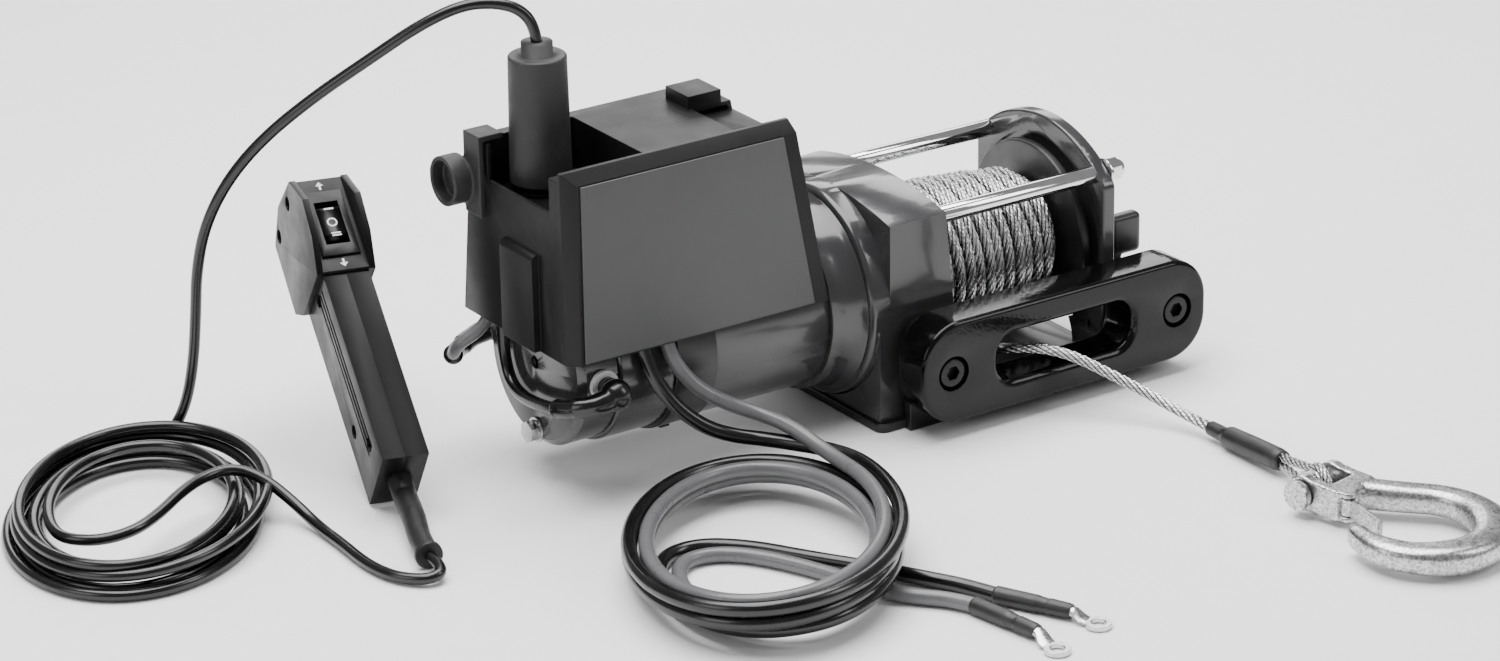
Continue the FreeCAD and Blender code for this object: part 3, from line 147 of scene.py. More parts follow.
def stranded_steel(name, wires, lay):
    """Galvanised wire: drawn wires side by side in each strand, with painted shade darkening the valleys between the
    strands.

    The real rope has some hundred wires of 0.3 mm; they are drawn coarser, or they would not show.
    """
    material, tree, shader = surface(name, "#8E8E8E", "#D2D2D2", 0.27, 0.06, 6, 1, 0.0, Metallic=1.0)
    across = add(tree, "SeparateXYZ", {0: add(tree, "UVMap", uv_map="lay").outputs["UV"]})
    drift = add(tree, "Math", {0: across.outputs["Y"], 1: 1 / lay}, operation="MULTIPLY")
    wire = add(tree, "Math", {0: across.outputs["X"], 1: drift.outputs[0]}, operation="ADD")
    phase = add(tree, "Math", {0: wire.outputs[0], 1: wires * TURN}, operation="MULTIPLY")
    ridge = add(tree, "Math", {0: phase.outputs[0]}, operation="SINE")
    strand = add(tree, "Math", {0: across.outputs["X"], 1: float(STRANDS)}, operation="MULTIPLY")
    groove = add(tree, "Math", {0: strand.outputs[0], 1: 0.5}, operation="PINGPONG")
    # painted shade: the base colour goes from light grey on the strands to near black in the grooves between them,
    # where shade falls
    valley = add(tree, "MapRange", {"Value": groove.outputs[0], "From Min": 0.04, "From Max": 0.24,
                                    "To Min": 0.0, "To Max": 1.0})
    tone = add(tree, "Mix", {0: valley.outputs[0], 6: linear("#202020"), 7: linear("#D6D6D6")},
               data_type="RGBA")
    tree.links.new(tone.outputs[2], shader.inputs["Base Color"])
    bump = add(tree, "Bump", {"Height": ridge.outputs[0], "Distance": 0.07 * MM, "Strength": 1.0})
    tree.links.new(bump.outputs["Normal"], shader.inputs["Normal"])
    return material


def spangled(name, dark, light, roughness, grain, depth, crystal):
    """Zinc plate on a forging: fine bright crystals over a grainy skin."""
    material, tree, shader = surface(name, dark, light, roughness, 0.06, 5, grain, depth, Metallic=1.0)
    place = add(tree, "TexCoord").outputs["Object"]
    cells = add(tree, "TexVoronoi", {"Vector": place, "Scale": 1000 / crystal})
    tone = add(tree, "Mix", {0: add(tree, "SeparateXYZ", {0: cells.outputs["Color"]}).outputs["X"],
                             6: linear(dark), 7: linear(light)}, data_type="RGBA")
    tree.links.new(tone.outputs[2], shader.inputs["Base Color"])
    return material


def make_materials():
    """Every finish of the winch by the material slot it belongs to."""
    made = {
        # black powder coat, baked on: satin with a faint orange peel
        "bracket_paint": surface("satin_powder_coat", "#0D0D0E", "#171718", 0.34, 0.05, 18, 1.6, 0.02, IOR=1.5),
        # grey gloss enamel sprayed on a casting: mirror-like lights, slight waviness
        "housing_paint": surface("grey_gloss_enamel", "#29292A", "#363638", 0.2, 0.05, 25, 2.6, 0.012,
                                 IOR=1.5, Coat_Weight=0.3, Coat_Roughness=0.06),
        # satin black paint on a turned drum
        "drum_paint": surface("satin_drum_paint", "#0C0C0C", "#161617", 0.38, 0.08, 9, 1.0, 0.015, IOR=1.5),
        # black enamel over a rough casting: gloss with strong orange peel
        "gloss_black": surface("black_gloss_enamel", "#040404", "#0A0A0A", 0.12, 0.05, 12, 1.9, 0.07,
                               Specular_IOR_Level=0.24),
        # bright zinc on steel screws: a clean light grey
        "plated_steel": surface("bright_zinc_plate", "#A9A9AA", "#D6D6D6", 0.27, 0.1, 2.5, 0.5, 0.01, Metallic=1.0),
        # oiled black oxide on socket screws
        "black_steel": surface("black_oxide", "#101010", "#202020", 0.32, 0.08, 2.5, 0.5, 0.01, Metallic=0.6),
        # chromium on turned bar: near mirror
        "chrome_rod": surface("bright_chromium", "#D3D3D4", "#EFEFEF", 0.08, 0.03, 6, 1.5, 0.002, Metallic=1.0),
        # porous bronze pressed from powder
        "bronze": surface("sintered_bronze", "#7A5A30", "#9A7744", 0.45, 0.08, 2, 0.4, 0.02, Metallic=1.0),
        # dull ferrite, ground on its faces
        "magnet": surface("ground_ferrite", "#1E1E20", "#323236", 0.6, 0.08, 3, 0.4, 0.02, IOR=2.0),
        # turned and hobbed steel with an oil film
        "machined_steel": surface("machined_steel", "#8B8C8E", "#B9BABB", 0.28, 0.07, 3, 0.6, 0.006, Metallic=1.0),
        # stacked steel sheets under amber lacquer
        "laminations": surface("lacquered_laminations", "#4A3B2E", "#6E5B49", 0.42, 0.1, 2, 0.5, 0.03, Metallic=0.7),
        # turned copper bars
        "copper": surface("turned_copper", "#9A5A3A", "#C37B55", 0.25, 0.08, 2, 0.5, 0.006, Metallic=1.0),
        # pressed carbon: black and dusty
        "carbon": surface("pressed_carbon", "#161616", "#252525", 0.7, 0.08, 2, 0.3, 0.02, IOR=1.8),
        # moulded nylon, waxy
        "bush_plastic": surface("moulded_nylon", "#3A3A39", "#4A4A48", 0.42, 0.06, 4, 0.6, 0.01, IOR=1.53),
        "wire_rope": (stranded_steel("galvanised_wire_rope", 18, ROPE_LAY),),
        # smooth moulded nylon lever
        "lever_plastic": surface("black_nylon_lever", "#0A0A0A", "#131313", 0.33, 0.06, 5, 0.7, 0.01, IOR=1.53),
        # injection moulded cover with a fine spark grain
        "box_plastic": surface("spark_grained_abs", "#0B0B0C", "#121213", 0.45, 0.05, 14, 0.55, 0.035,
                               Specular_IOR_Level=0.24),
        "inner_plastic": surface("plain_black_abs", "#0B0B0B", "#131313", 0.45, 0.06, 6, 0.8, 0.015, IOR=1.49),
        # moulded rubber, dusty and matt with a coarse grain
        "plug_rubber": surface("grained_rubber", "#1A1A1A", "#2A2A2A", 0.58, 0.07, 5, 0.7, 0.07, IOR=1.5),
        # satin moulded case: finer grain than the cover's
        "handset_plastic": surface("satin_abs_case", "#060606", "#0C0C0D", 0.38, 0.06, 10, 0.6, 0.02,
                                   Specular_IOR_Level=0.22),
        # smooth moulded nylon of the rocker, with a soft gloss
        "switch_plastic": surface("polished_black_nylon", "#060606", "#0C0C0C", 0.34, 0.04, 4, 1.0, 0.004, IOR=1.35),
        # extruded PVC sheath: smooth, with soft long lights
        "cord_black": surface("black_pvc_sheath", "#060606", "#0D0D0D", 0.24, 0.05, 14, 2.2, 0.012, IOR=1.53),
        # extruded grey PVC insulation
        "cable_grey": surface("grey_pvc_insulation", "#58585A", "#666668", 0.3, 0.05, 16, 2.4, 0.012, IOR=1.53),
        # tinned copper, soft and slightly pitted
        "lug_metal": surface("tinned_copper", "#B3B3B3", "#E2E2E2", 0.26, 0.08, 2, 0.6, 0.02, Metallic=1.0),
        "hook_zinc": (spangled("zinc_plated_forging", "#8F8F90", "#D9D9D9", 0.3, 0.7, 0.06, 0.9),),
        # polyolefin tube shrunk by heat: dark and slightly rippled
        "heat_shrink": surface("shrunk_polyolefin", "#161617", "#222223", 0.44, 0.08, 6, 1.4, 0.05, IOR=1.5),
        # grained ABS of the cover's front plate, paler than the cover
        "front_panel": surface("grained_grey_panel", "#3E3E3F", "#4A4A4B", 0.5, 0.04, 30, 0.8, 0.045, IOR=1.49),
        # soft PVC moulded over the cord: matt
        "relief": surface("moulded_soft_pvc", "#0D0D0D", "#161616", 0.5, 0.06, 6, 0.8, 0.02, IOR=1.45),
        # white pad printing ink
        "white_ink": surface("white_pad_print", "#D2D2D2", "#E6E6E6", 0.5, 0.05, 3, 0.5, 0.0, IOR=1.5),
        # pressed fibre, pale and slightly fuzzy
        "pale_washer": surface("pale_fibre_washer", "#C9C9C7", "#DEDEDC", 0.4, 0.06, 3, 0.6, 0.01, IOR=1.5),
    }
    return {slot: entry[0] for slot, entry in made.items()}


# ---------------------------------------------------------------- helpers for pieces

def new_mesh(name, bm):
    bmesh.ops.recalc_face_normals(bm, faces=bm.faces)
    mesh = bpy.data.meshes.new(name)
    bm.to_mesh(mesh)
    bm.free()
    for face in mesh.polygons:
        face.use_smooth = True
    return mesh


def finish_piece(piece, slot, body="root", replaced=(), material=None):
    """Give a piece its material, picked by its slot unless one is named, and the body it moves with, and hide the CAD
    nodes it stands for.
    """
    piece.data.materials.append(MATERIALS[material or slot])
    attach(piece, body)
    if replaced:
        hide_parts(*replaced)
    return piece


def mesh_piece(name, bm, slot, body="root", replaced=(), material=None, sharp=35):
    mesh = new_mesh(name, bm)
    mesh.set_sharp_from_angle(angle=math.radians(sharp))
    piece = bpy.data.objects.new(name, mesh)
    bpy.context.collection.objects.link(piece)
    return finish_piece(piece, slot, body, replaced, material)


def spline_curve(name, route):
    """One open NURBS spline whose control points are the route."""
    data = bpy.data.curves.new(name, "CURVE")
    data.dimensions = "3D"
    spline = data.splines.new("NURBS")
    spline.points.add(len(route) - 1)
    for knot, point in zip(spline.points, route):
        knot.co = (*point, 1)
    spline.order_u = 3
    spline.use_endpoint_u = True
    return data


def cord_piece(name, route, diameter, slot, replaced):
    data = spline_curve(name, route)
    data.bevel_depth = diameter / 2
    data.bevel_resolution = 6
    data.resolution_u = 10
    data.use_fill_caps = True
    piece = bpy.data.objects.new(name, data)
    bpy.context.collection.objects.link(piece)
    return finish_piece(piece, slot, "root", replaced)


def line_of(route, resolution=16):
    """The points that a route's smooth line passes through."""
    data = spline_curve("line", route)
    data.resolution_u = resolution
    helper = bpy.data.objects.new("line", data)
    mesh = bpy.data.meshes.new_from_object(helper)
    points = [vertex.co.copy() for vertex in mesh.vertices]
    bpy.data.objects.remove(helper)
    bpy.data.meshes.remove(mesh)
    return points


def evenly(points, step):
    """The same line with points a step apart."""
    made, owed = [points[0]], step
    for before, after in zip(points, points[1:]):
        run = (after - before).length
        while owed <= run:
            made.append(before.lerp(after, owed / run))
            owed += step
        owed -= run
    return made


def skin(path, section, capped=True, start_normal=(0, 0, 1)):
    """A skin over one ring of points at each point of a path; section(distance) gives the ring's offsets."""
    bm = bmesh.new()
    uv = bm.loops.layers.uv.new("lay")
    normal, distance, rings = Vector(start_normal), 0.0, []
    for number, point in enumerate(path):
        before, after = path[max(number - 1, 0)], path[min(number + 1, len(path) - 1)]
        heading = (after - before).normalized()
        normal = (normal - heading * normal.dot(heading)).normalized()
        side = heading.cross(normal)
        if number:
            distance += (point - path[number - 1]).length
        ring = [bm.verts.new(point + normal * x + side * y) for x, y in section(distance)]
        rings.append((distance, ring))
    for (near, a), (far, b) in zip(rings, rings[1:]):
        count = len(a)
        for k in range(count):
            face = bm.faces.new((a[k], a[(k + 1) % count], b[(k + 1) % count], b[k]))
            for loop, (share, along) in zip(face.loops, ((k, near), (k + 1, near), (k + 1, far), (k, far))):
                loop[uv].uv = (share / count, along)
    if capped:
        bm.faces.new(list(reversed(rings[0][1])))
        bm.faces.new(rings[-1][1])
    return bm


def round_section(radius_at, sides=28):
    """A round ring whose radius follows the distance along the path."""
    def section(distance):
        radius = radius_at(distance)
        return [(radius * math.cos(TURN * k / sides), radius * math.sin(TURN * k / sides)) for k in range(sides)]
    return section


def rope_section(radius, lay, points=5):
    """The outline of the laid strands, which turns once in each lay, over a core that fills the grooves."""
    middle, strand, core = radius * 2 / 3, radius / 3, 0.74 * radius

    def section(distance):
        twist, ring = TURN * distance / lay, []
        for k in range(STRANDS * points):
            share = (k % points + 0.5) / points - 0.5
            angle = share * TURN / STRANDS
            reach = middle * math.cos(angle) + math.sqrt(max(strand ** 2 - (middle * math.sin(angle)) ** 2, 0))
            reach = max(reach, core)
            around = TURN * k / (STRANDS * points) + twist
            ring.append((reach * math.cos(around), reach * math.sin(around)))
        return ring
    return section


def stepped(stations):
    """A radius read from (distance, radius) stations, straight between them."""
    def radius_at(distance):
        for (near, low), (far, high) in zip(stations, stations[1:]):
            if distance <= far:
                return low + (high - low) * max(distance - near, 0) / (far - near)
        return stations[-1][1]
    return radius_at


def bridge(bm, rings):
    """Faces between each ring of points and the next."""
    for a, b in zip(rings, rings[1:]):
        for k in range(len(a)):
            after = (k + 1) % len(a)
            bm.faces.new((a[k], a[after], b[after], b[k]))


def turned(profile, origin, axis, sides=40):
    """A turned shape: profile is (distance along the axis, radius) pairs."""
    axis = Vector(axis).normalized()
    path = [Vector(origin) + axis * along for along, _ in profile]
    bm = bmesh.new()
    across = axis.orthogonal().normalized()
    side = axis.cross(across)
    spokes = [across * math.cos(TURN * k / sides) + side * math.sin(TURN * k / sides) for k in range(sides)]
    rings = [[bm.verts.new(point + spoke * radius) for spoke in spokes]
             for point, (_, radius) in zip(path, profile)]
    bridge(bm, rings)
    bm.faces.new(list(reversed(rings[0])))
    bm.faces.new(rings[-1])
    return bm


def slab_outline(corners, thickness, place, rounding=0.0):
    """A flat plate from its outline in the place's XZ plane, thick towards its -Y, with a rolled edge."""
    bm = bmesh.new()
    back = [bm.verts.new((x, 0, z)) for x, z in corners]
    face = bm.faces.new(back)
    made = bmesh.ops.extrude_face_region(bm, geom=[face])
    verts = [item for item in made["geom"] if isinstance(item, bmesh.types.BMVert)]
    bmesh.ops.translate(bm, verts=verts, vec=(0, -thickness, 0))
    if rounding:
        bmesh.ops.recalc_face_normals(bm, faces=bm.faces)
        bmesh.ops.bevel(bm, geom=list(bm.edges), offset=rounding, segments=3, affect="EDGES", profile=0.5)
    bmesh.ops.transform(bm, matrix=place, verts=bm.verts)
    return bm


def turn_of(yaw, pitch, roll, at):
    """The place of something turned by yaw, pitch and roll in degrees, then moved."""
    place = Matrix.Translation(Vector(at))
    for angle, axis in ((yaw, "Z"), (pitch, "Y"), (roll, "X")):
        place = place @ Matrix.Rotation(math.radians(angle), 4, axis)
    return place


HANDSET = turn_of(-12.195, 1.281, -55.341, (-0.2953, 0.0037, 0.0151))
HOOK = turn_of(-79.35, 1.5, 0, (0.023, -0.222, 0.0103))


# ---------------------------------------------------------------- cords

REMOTE_RISE = [(-0.2158, 0.0105, 0.1934), (-0.2164, 0.0115, 0.201), (-0.2215, 0.0145, 0.208),
               (-0.231, 0.0185, 0.2115), (-0.244, 0.024, 0.2115), (-0.26, 0.033, 0.203),
               (-0.276, 0.045, 0.189), (-0.296, 0.061, 0.171), (-0.313, 0.076, 0.152),
               (-0.325, 0.088, 0.132), (-0.3325, 0.097, 0.11), (-0.335, 0.1025, 0.088),
               (-0.3345, 0.107, 0.065), (-0.335, 0.111, 0.042), (-0.337, 0.116, 0.022),
               (-0.342, 0.1195, 0.0095), (-0.35, 0.1215, 0.0034)]
REMOTE_HUMP = [(-0.4355, 0.0335, 0.0136), (-0.426, 0.025, 0.014), (-0.412, 0.0225, 0.0153)]
REMOTE_TAIL = [(-0.397, 0.029, 0.0165), (-0.381, 0.0385, 0.0192), (-0.366, 0.0455, 0.02),
               (-0.352, 0.046, 0.02), (-0.3425, 0.037, 0.016), (-0.3365, 0.0229, 0.0085),
               (-0.3345, 0.005, 0.003), (-0.3348, -0.016, 0.0027), (-0.3362, -0.034, 0.0027),
               (-0.3355, -0.047, 0.0027), (-0.332, -0.059, 0.0028), (-0.323, -0.069, 0.0034),
               (-0.3145, -0.066, 0.005), (-0.3149, -0.054, 0.0062)]
GREY_LEAD = [(-0.188, -0.036, 0.087), (-0.188, -0.0384, 0.078), (-0.1877, -0.041, 0.066),
             (-0.1845, -0.045, 0.055), (-0.177, -0.05, 0.045), (-0.1665, -0.056, 0.038),
             (-0.156, -0.064, 0.0335), (-0.149, -0.077, 0.031)]
BLACK_LEAD = [(-0.2, -0.036, 0.087), (-0.2, -0.0384, 0.078), (-0.1997, -0.041, 0.067),
              (-0.1975, -0.045, 0.055), (-0.191, -0.0505, 0.042), (-0.18, -0.0565, 0.031),
              (-0.168, -0.062, 0.0255), (-0.156, -0.069, 0.0235)]
GREY_TAIL = [(-0.178, -0.19, 0.0036), (-0.17, -0.2, 0.0035), (-0.161, -0.2095, 0.0035),
             (-0.1565, -0.22, 0.0035)]
BLACK_TAIL = [(-0.163, -0.178, 0.0036), (-0.156, -0.19, 0.0035), (-0.1485, -0.203, 0.0035),
              (-0.1435, -0.217, 0.0035)]
FRONT_LEAD = [(-0.2242, -0.0492, 0.051), (-0.231, -0.0475, 0.05), (-0.2368, -0.04, 0.0475),
              (-0.2375, -0.028, 0.044), (-0.236, -0.012, 0.0405), (-0.234, 0.004, 0.0385),
              (-0.2326, 0.015, 0.042), (-0.2322, 0.0195, 0.053), (-0.2322, 0.02, 0.067),
              (-0.232, 0.02, 0.0805)]
BACK_LEAD = [(-0.2242, 0.0492, 0.051), (-0.232, 0.0495, 0.0486), (-0.2405, 0.0465, 0.046),
             (-0.2463, 0.0395, 0.0475), (-0.2465, 0.034, 0.055), (-0.2395, 0.0305, 0.0595),
             (-0.2324, 0.0295, 0.066), (-0.2308, 0.029, 0.078)]
FREE_ROPE = [(-0.034, -0.015, 0.0172), (-0.031, -0.037, 0.022), (-0.024, -0.056, 0.0285),
             (-0.012, -0.069, 0.0306), (-0.001, -0.079, 0.028), (0.01, -0.092, 0.021),
             (0.021, -0.107, 0.0132), (0.0275, -0.122, 0.008), (0.0308, -0.138, 0.0056),
             (0.031, -0.15, 0.0054)]

REMOTE_DIAMETER, SUPPLY_DIAMETER, LEAD_DIAMETER, ROPE_DIAMETER = 5.0 * MM, 6.6 * MM, 5.6 * MM, 4.8 * MM
ROPE_LAY = 29 * MM
POINTS_PER_TURN = 18
COIL_HEADING = 56
REMOTE_CENTRE, SUPPLY_CENTRE = (-0.392, 0.057), (-0.203, -0.137)
# the supply cables' last run, through the coil's hollow and under its side, in the coil's own axes, millimetres
GREY_UNDER = [(-12, 36.5), (4, 34), (11, 20), (7, 2), (-6, -20), (-20, -38)]
BLACK_UNDER = [(-14, 44.5), (8, 43), (19.5, 28), (16.5, 6), (5, -18), (-4, -40)]
UNDER_HEIGHT = 3.5


def eased(share):
    """A smooth step from 0 to 1."""
    share = min(max(share, 0), 1)
    return share * share * (3 - 2 * share)


def between(stations, turn):
    """Values read from (turn, value, value ...) stations, eased between them."""
    for near, far in zip(stations, stations[1:]):
        if turn <= far[0]:
            share = eased((turn - near[0]) / (far[0] - near[0]))
            return [low + (high - low) * share for low, high in zip(near[1:], far[1:])]
    return list(stations[-1][1:])


def on_coil(centre, x, y, height):
    """A point given in a coil's own axes and in millimetres."""
    return Vector((*centre, 0)) + Matrix.Rotation(math.radians(COIL_HEADING), 3, "Z") @ Vector((x, y, height)) * MM


def loose_turns(centre, start, sense, stations, inset=0.0):
    """Turns of a cord on the floor, round an oval.

    stations are (turn, long, short, shift x, shift y, height), start is the first turn's angle in degrees,
    sense its way round and inset how far inside the oval it lies.
    """
    first, last = stations[0][0], stations[-1][0]
    count = round((last - first) * POINTS_PER_TURN)
    points = []
    for number in range(count + 1):
        turn = first + (last - first) * number / count
        long, short, shift_x, shift_y, height = between(stations, turn)
        angle = math.radians(start) + sense * TURN * turn
        points.append(on_coil(centre, (long - inset) * math.cos(angle) + shift_x,
                              (short - inset) * math.sin(angle) + shift_y, height))
    return points


# (turn, long and short half widths, shift x, shift y, height), millimetres
REMOTE_LAPS = [(0.0, 79, 57, 0, 0, 2.6), (1.0, 72, 50.5, -1, 1, 2.6), (2.05, 63, 43.5, -2, 1, 2.6),
               (2.45, 60, 41, -1, 0, 8.0), (3.4, 68, 47.5, 3, -2, 8.0), (4.3, 76, 54, 4, -1, 8.0),
               (4.7, 76, 55, 2, 0, 13.4), (5.6, 66, 45, -4, 3, 13.4), (6.3, 52, 34, -6, 3, 13.4)]
SUPPLY_LAPS = [(0.06, 84, 58, 0, 0, 23.6), (0.35, 83, 57, 0, 0, 23.6), (0.7, 78, 54, -4, 3, 16.9),
               (1.35, 80, 55.5, -2, 1, 16.9), (1.7, 82, 57, 2, 0, 10.2), (2.35, 80, 55, 1, 0, 10.2),
               (2.6, 62, 40, 0, 4, 3.5)]


def remote_cord():
    laps = loose_turns(REMOTE_CENTRE, 18, 1, REMOTE_LAPS)
    route = [Vector(p) for p in REMOTE_RISE] + laps + [Vector(p) for p in REMOTE_HUMP + REMOTE_TAIL]
    cord = cord_piece("remote_control_cord", route, REMOTE_DIAMETER, "cord_black",
                      ("remote_cord", "remote_cord_coil", "remote_cord_tail"))
    length_of(route)


def length_of(route):
    """The length of a route's smooth line, to the nearest centimetre."""
    line = line_of(route)
    return round(sum((b - a).length for a, b in zip(line, line[1:])), 2)


def supply_cables():
    for name, slot, lead, under, tail, inset, replaced in (
            ("black_supply_cable", "cord_black", BLACK_LEAD, BLACK_UNDER, BLACK_TAIL, 0.0,
             ("black_supply_lead", "black_supply_tail", "supply_coil")),
            ("grey_supply_cable", "cable_grey", GREY_LEAD, GREY_UNDER, GREY_TAIL, 7.4,
             ("grey_supply_lead", "grey_supply_tail"))):
        laps = loose_turns(SUPPLY_CENTRE, -14, -1, SUPPLY_LAPS, inset)
        # to the nearest tenth of a millimetre, as the other routes
        under = [Vector([round(value, 4) for value in on_coil(SUPPLY_CENTRE, x, y, UNDER_HEIGHT)]) for x, y in under]
        route = [Vector(p) for p in lead] + laps + under + [Vector(p) for p in tail]
        cable = cord_piece(name, route, SUPPLY_DIAMETER, slot, replaced)
        lug, sleeve = cable_end(name.split("_")[0], tail[-1])
        length_of(route)


LUG_ENDS = {"grey": ((-0.152, -0.247, 0.0036), (-0.1512, -0.268, 0.0022)),
            "black": ((-0.1315, -0.241, 0.0036), (-0.1235, -0.259, 0.0022))}


def cable_end(side, start):
    """A ring terminal and the heat-shrink sleeve over its barrel."""
    crimp, eye = (Vector(p) for p in LUG_ENDS[side])
    start = Vector(start)
    heading = (crimp - start).normalized()
    barrel_end = crimp + heading * 8 * MM
    run = (barrel_end - start).length
    steps = [(0, 3.5 * MM), (0.6 * MM, 3.9 * MM), (run * 0.55, 3.8 * MM), (run * 0.6, 3.5 * MM),
             (run * 0.68, 3.3 * MM), (run * 0.72, 3.55 * MM), (run * 0.95, 3.3 * MM), (run, 3.0 * MM)]
    line = evenly([start - heading * 0.5 * MM, crimp, barrel_end], 0.6 * MM)
    sleeve = mesh_piece(f"{side}_lug_sleeve", skin(line, round_section(stepped(steps))), "lug_metal",
                        replaced=("cable_lugs",) if side == "grey" else (), material="heat_shrink")
    forward = (eye - crimp).normalized()
    forward = Vector((forward.x, forward.y, 0)).normalized()
    across = Vector((-forward.y, forward.x, 0))
    bm = bmesh.new()
    outer, bore, base, thick = 5.6 * MM, 3.2 * MM, 0.3 * MM, 1.8 * MM
    count = 40
    spokes = [forward * math.cos(TURN * k / count) + across * math.sin(TURN * k / count) for k in range(count)]
    rings = [[bm.verts.new(Vector((eye.x, eye.y, height)) + spoke * radius) for spoke in spokes]
             for radius, height in ((bore, base), (outer, base), (outer, base + thick), (bore, base + thick))]
    bridge(bm, rings + rings[:1])
    # the neck from the round barrel to the flat ring: (middle, half width, half height)
    neck = [(barrel_end - heading * 4 * MM, 2.6 * MM, 2.6 * MM),
            (barrel_end + forward * 1.0 * MM, 3.0 * MM, 2.0 * MM),
            (Vector((eye.x, eye.y, 1.9 * MM)) - forward * 7.5 * MM, 3.9 * MM, 1.0 * MM),
            (Vector((eye.x, eye.y, base + thick / 2)) - forward * 4.4 * MM, 3.6 * MM, 0.85 * MM)]
    loops = [[bm.verts.new(middle + across * wide * math.cos(TURN * k / 20)
                           + Vector((0, 0, high)) * math.sin(TURN * k / 20)) for k in range(20)]
             for middle, wide, high in neck]
    bridge(bm, loops)
    bm.faces.new(list(reversed(loops[0])))
    bm.faces.new(loops[-1])
    lug = mesh_piece(f"{side}_ring_terminal", bm, "lug_metal")
    bevel = lug.modifiers.new("rolled edge", "BEVEL")
    bevel.width, bevel.segments, bevel.limit_method = 0.25 * MM, 2, "ANGLE"
    return lug, sleeve


def motor_leads():
    for name, slot, route, node in (("front_motor_cable", "cord_black", FRONT_LEAD, "front_motor_lead"),
                                    ("back_motor_cable", "cable_grey", BACK_LEAD, "back_motor_lead")):
        cord_piece(name, [Vector(p) for p in route], LEAD_DIAMETER, slot, (node,))


def free_rope():
    line = evenly(line_of([Vector(p) for p in FREE_ROPE]), 1.2 * MM)
    rope = mesh_piece("free_wire_rope", skin(line, rope_section(ROPE_DIAMETER / 2, ROPE_LAY)), "wire_rope",
                      replaced=("free_rope",), sharp=60)
    eye = rope_eye()


# ---------------------------------------------------------------- rope on the drum and its end

# (distance along the drum, radius of the rope's middle), millimetres
ROPE_LAYERS = [(-43.3, 33.7), (-30, 33.9), (-16, 33.2), (-4, 32.6), (2, 31.6), (14, 30.4), (26.1, 29.2)]


def wound_rope():
    """The outer layer of the rope, wound with small gaps and slips, over a dark filling of the layers below."""
    turns, steps = 12, 84
    first, last = ROPE_LAYERS[0][0], ROPE_LAYERS[-1][0]
    path = []
    for number in range(turns * steps + 1):
        turn = number / steps
        slip = 0.55 * math.sin(turn * 2.39) + 0.35 * math.sin(turn * 5.1 + 1)
        along = first + (last - first) * turn / turns + slip * eased(turn / 2) * eased((turns - turn) / 2)
        radius = between(ROPE_LAYERS, along)[0] + 0.35 * math.sin(turn * 1.7)
        angle = TURN * turn - math.radians(110)
        path.append(Vector((along * MM, radius * MM * math.cos(angle), AXIS_HEIGHT + radius * MM * math.sin(angle))))
    path = evenly(path, 1.1 * MM)
    mesh_piece("wound_wire_rope", skin(path, rope_section(ROPE_DIAMETER / 2, ROPE_LAY), start_normal=(1, 0, 0)),
               "wire_rope", "drum", ("rope_on_drum",), sharp=60)
    # the layer below is laid the other way, in the grooves' depth, and slopes down to the bare drum
    steps, start, end = 60, 32.4, -43
    under = []
    for number in range(turns * steps + 1):
        turn = number / steps
        along = start + (end - start) * turn / turns
        radius = min(between(ROPE_LAYERS, along)[0] - 3.9, 24.6 + max(32 - along, 0) * 0.5)
        angle = TURN * turn
        under.append(Vector((along * MM, radius * MM * math.cos(angle), AXIS_HEIGHT + radius * MM * math.sin(angle))))
    mesh_piece("lower_rope_layer", skin(evenly(under, 2 * MM), rope_section(ROPE_DIAMETER / 2, ROPE_LAY),
                                        start_normal=(1, 0, 0)), "wire_rope", "drum", sharp=60)


def rope_eye():
    """Heat-shrunk sleeve over the pressed ferrule, and the rope's eye round its thimble."""
    bend, press, eye = Vector((0.031, -0.150, 0.0054)), Vector((0.031, -0.189, 0.0072)), HOOK.translation
    start = Vector((0.0308, -0.139, 0.00555))
    line = evenly([start, bend, press], 0.6 * MM)
    total = (bend - start).length + (press - bend).length
    steps = [(0, 2.7 * MM), (0.8 * MM, 3.3 * MM), (10 * MM, 3.5 * MM), (13.5 * MM, 5.0 * MM),
             (30 * MM, 5.15 * MM), (total - 4 * MM, 5.0 * MM), (total - 0.8 * MM, 4.5 * MM), (total, 3.6 * MM)]
    sleeve = mesh_piece("rope_sleeve", skin(line, round_section(stepped(steps))), "wire_rope",
                        replaced=("rope_eye",), material="heat_shrink")
    towards = Vector((press.x - eye.x, press.y - eye.y, 0)).normalized()
    ring_radius = 7.9 * MM
    rise = Vector((0, 0, 1))
    loop, thimble = [], []
    opening = math.radians(38)
    for number in range(61):
        angle = opening + (TURN - 2 * opening) * number / 60
        direction = towards * math.cos(angle) + rise * math.sin(angle)
        loop.append(eye + direction * ring_radius)
        thimble.append(eye + direction * 6.0 * MM)
    apex = press - (press - bend).normalized() * 3 * MM
    loop = [apex + rise * 1.4 * MM] + loop + [apex - rise * 1.4 * MM]
    rope_line = evenly(loop, 1.2 * MM)
    rope = mesh_piece("rope_loop", skin(rope_line, rope_section(2.1 * MM, 27 * MM)), "wire_rope", sharp=60)
    tip = eye + towards * 13 * MM
    channel = [tip + rise * 0.3 * MM] + thimble + [tip - rise * 0.3 * MM]

    def gutter(distance):
        """A thin gutter that opens outwards, round the rope's inner side."""
        outline = []
        for k in range(13):
            angle = math.radians(-80 + 160 * k / 12)
            outline.append((-2.9 * math.cos(angle) + 1.4, 2.9 * math.sin(angle)))
        for k in range(13):
            angle = math.radians(80 - 160 * k / 12)
            outline.append((-2.2 * math.cos(angle) + 1.4, 2.2 * math.sin(angle)))
        return [(x * MM, y * MM) for x, y in outline]

    liner = mesh_piece("rope_thimble", skin(evenly(channel, 0.8 * MM), gutter, start_normal=rise),
                       "hook_zinc", sharp=40)
    return [sleeve, rope, liner]


# ---------------------------------------------------------------- pieces of the winch

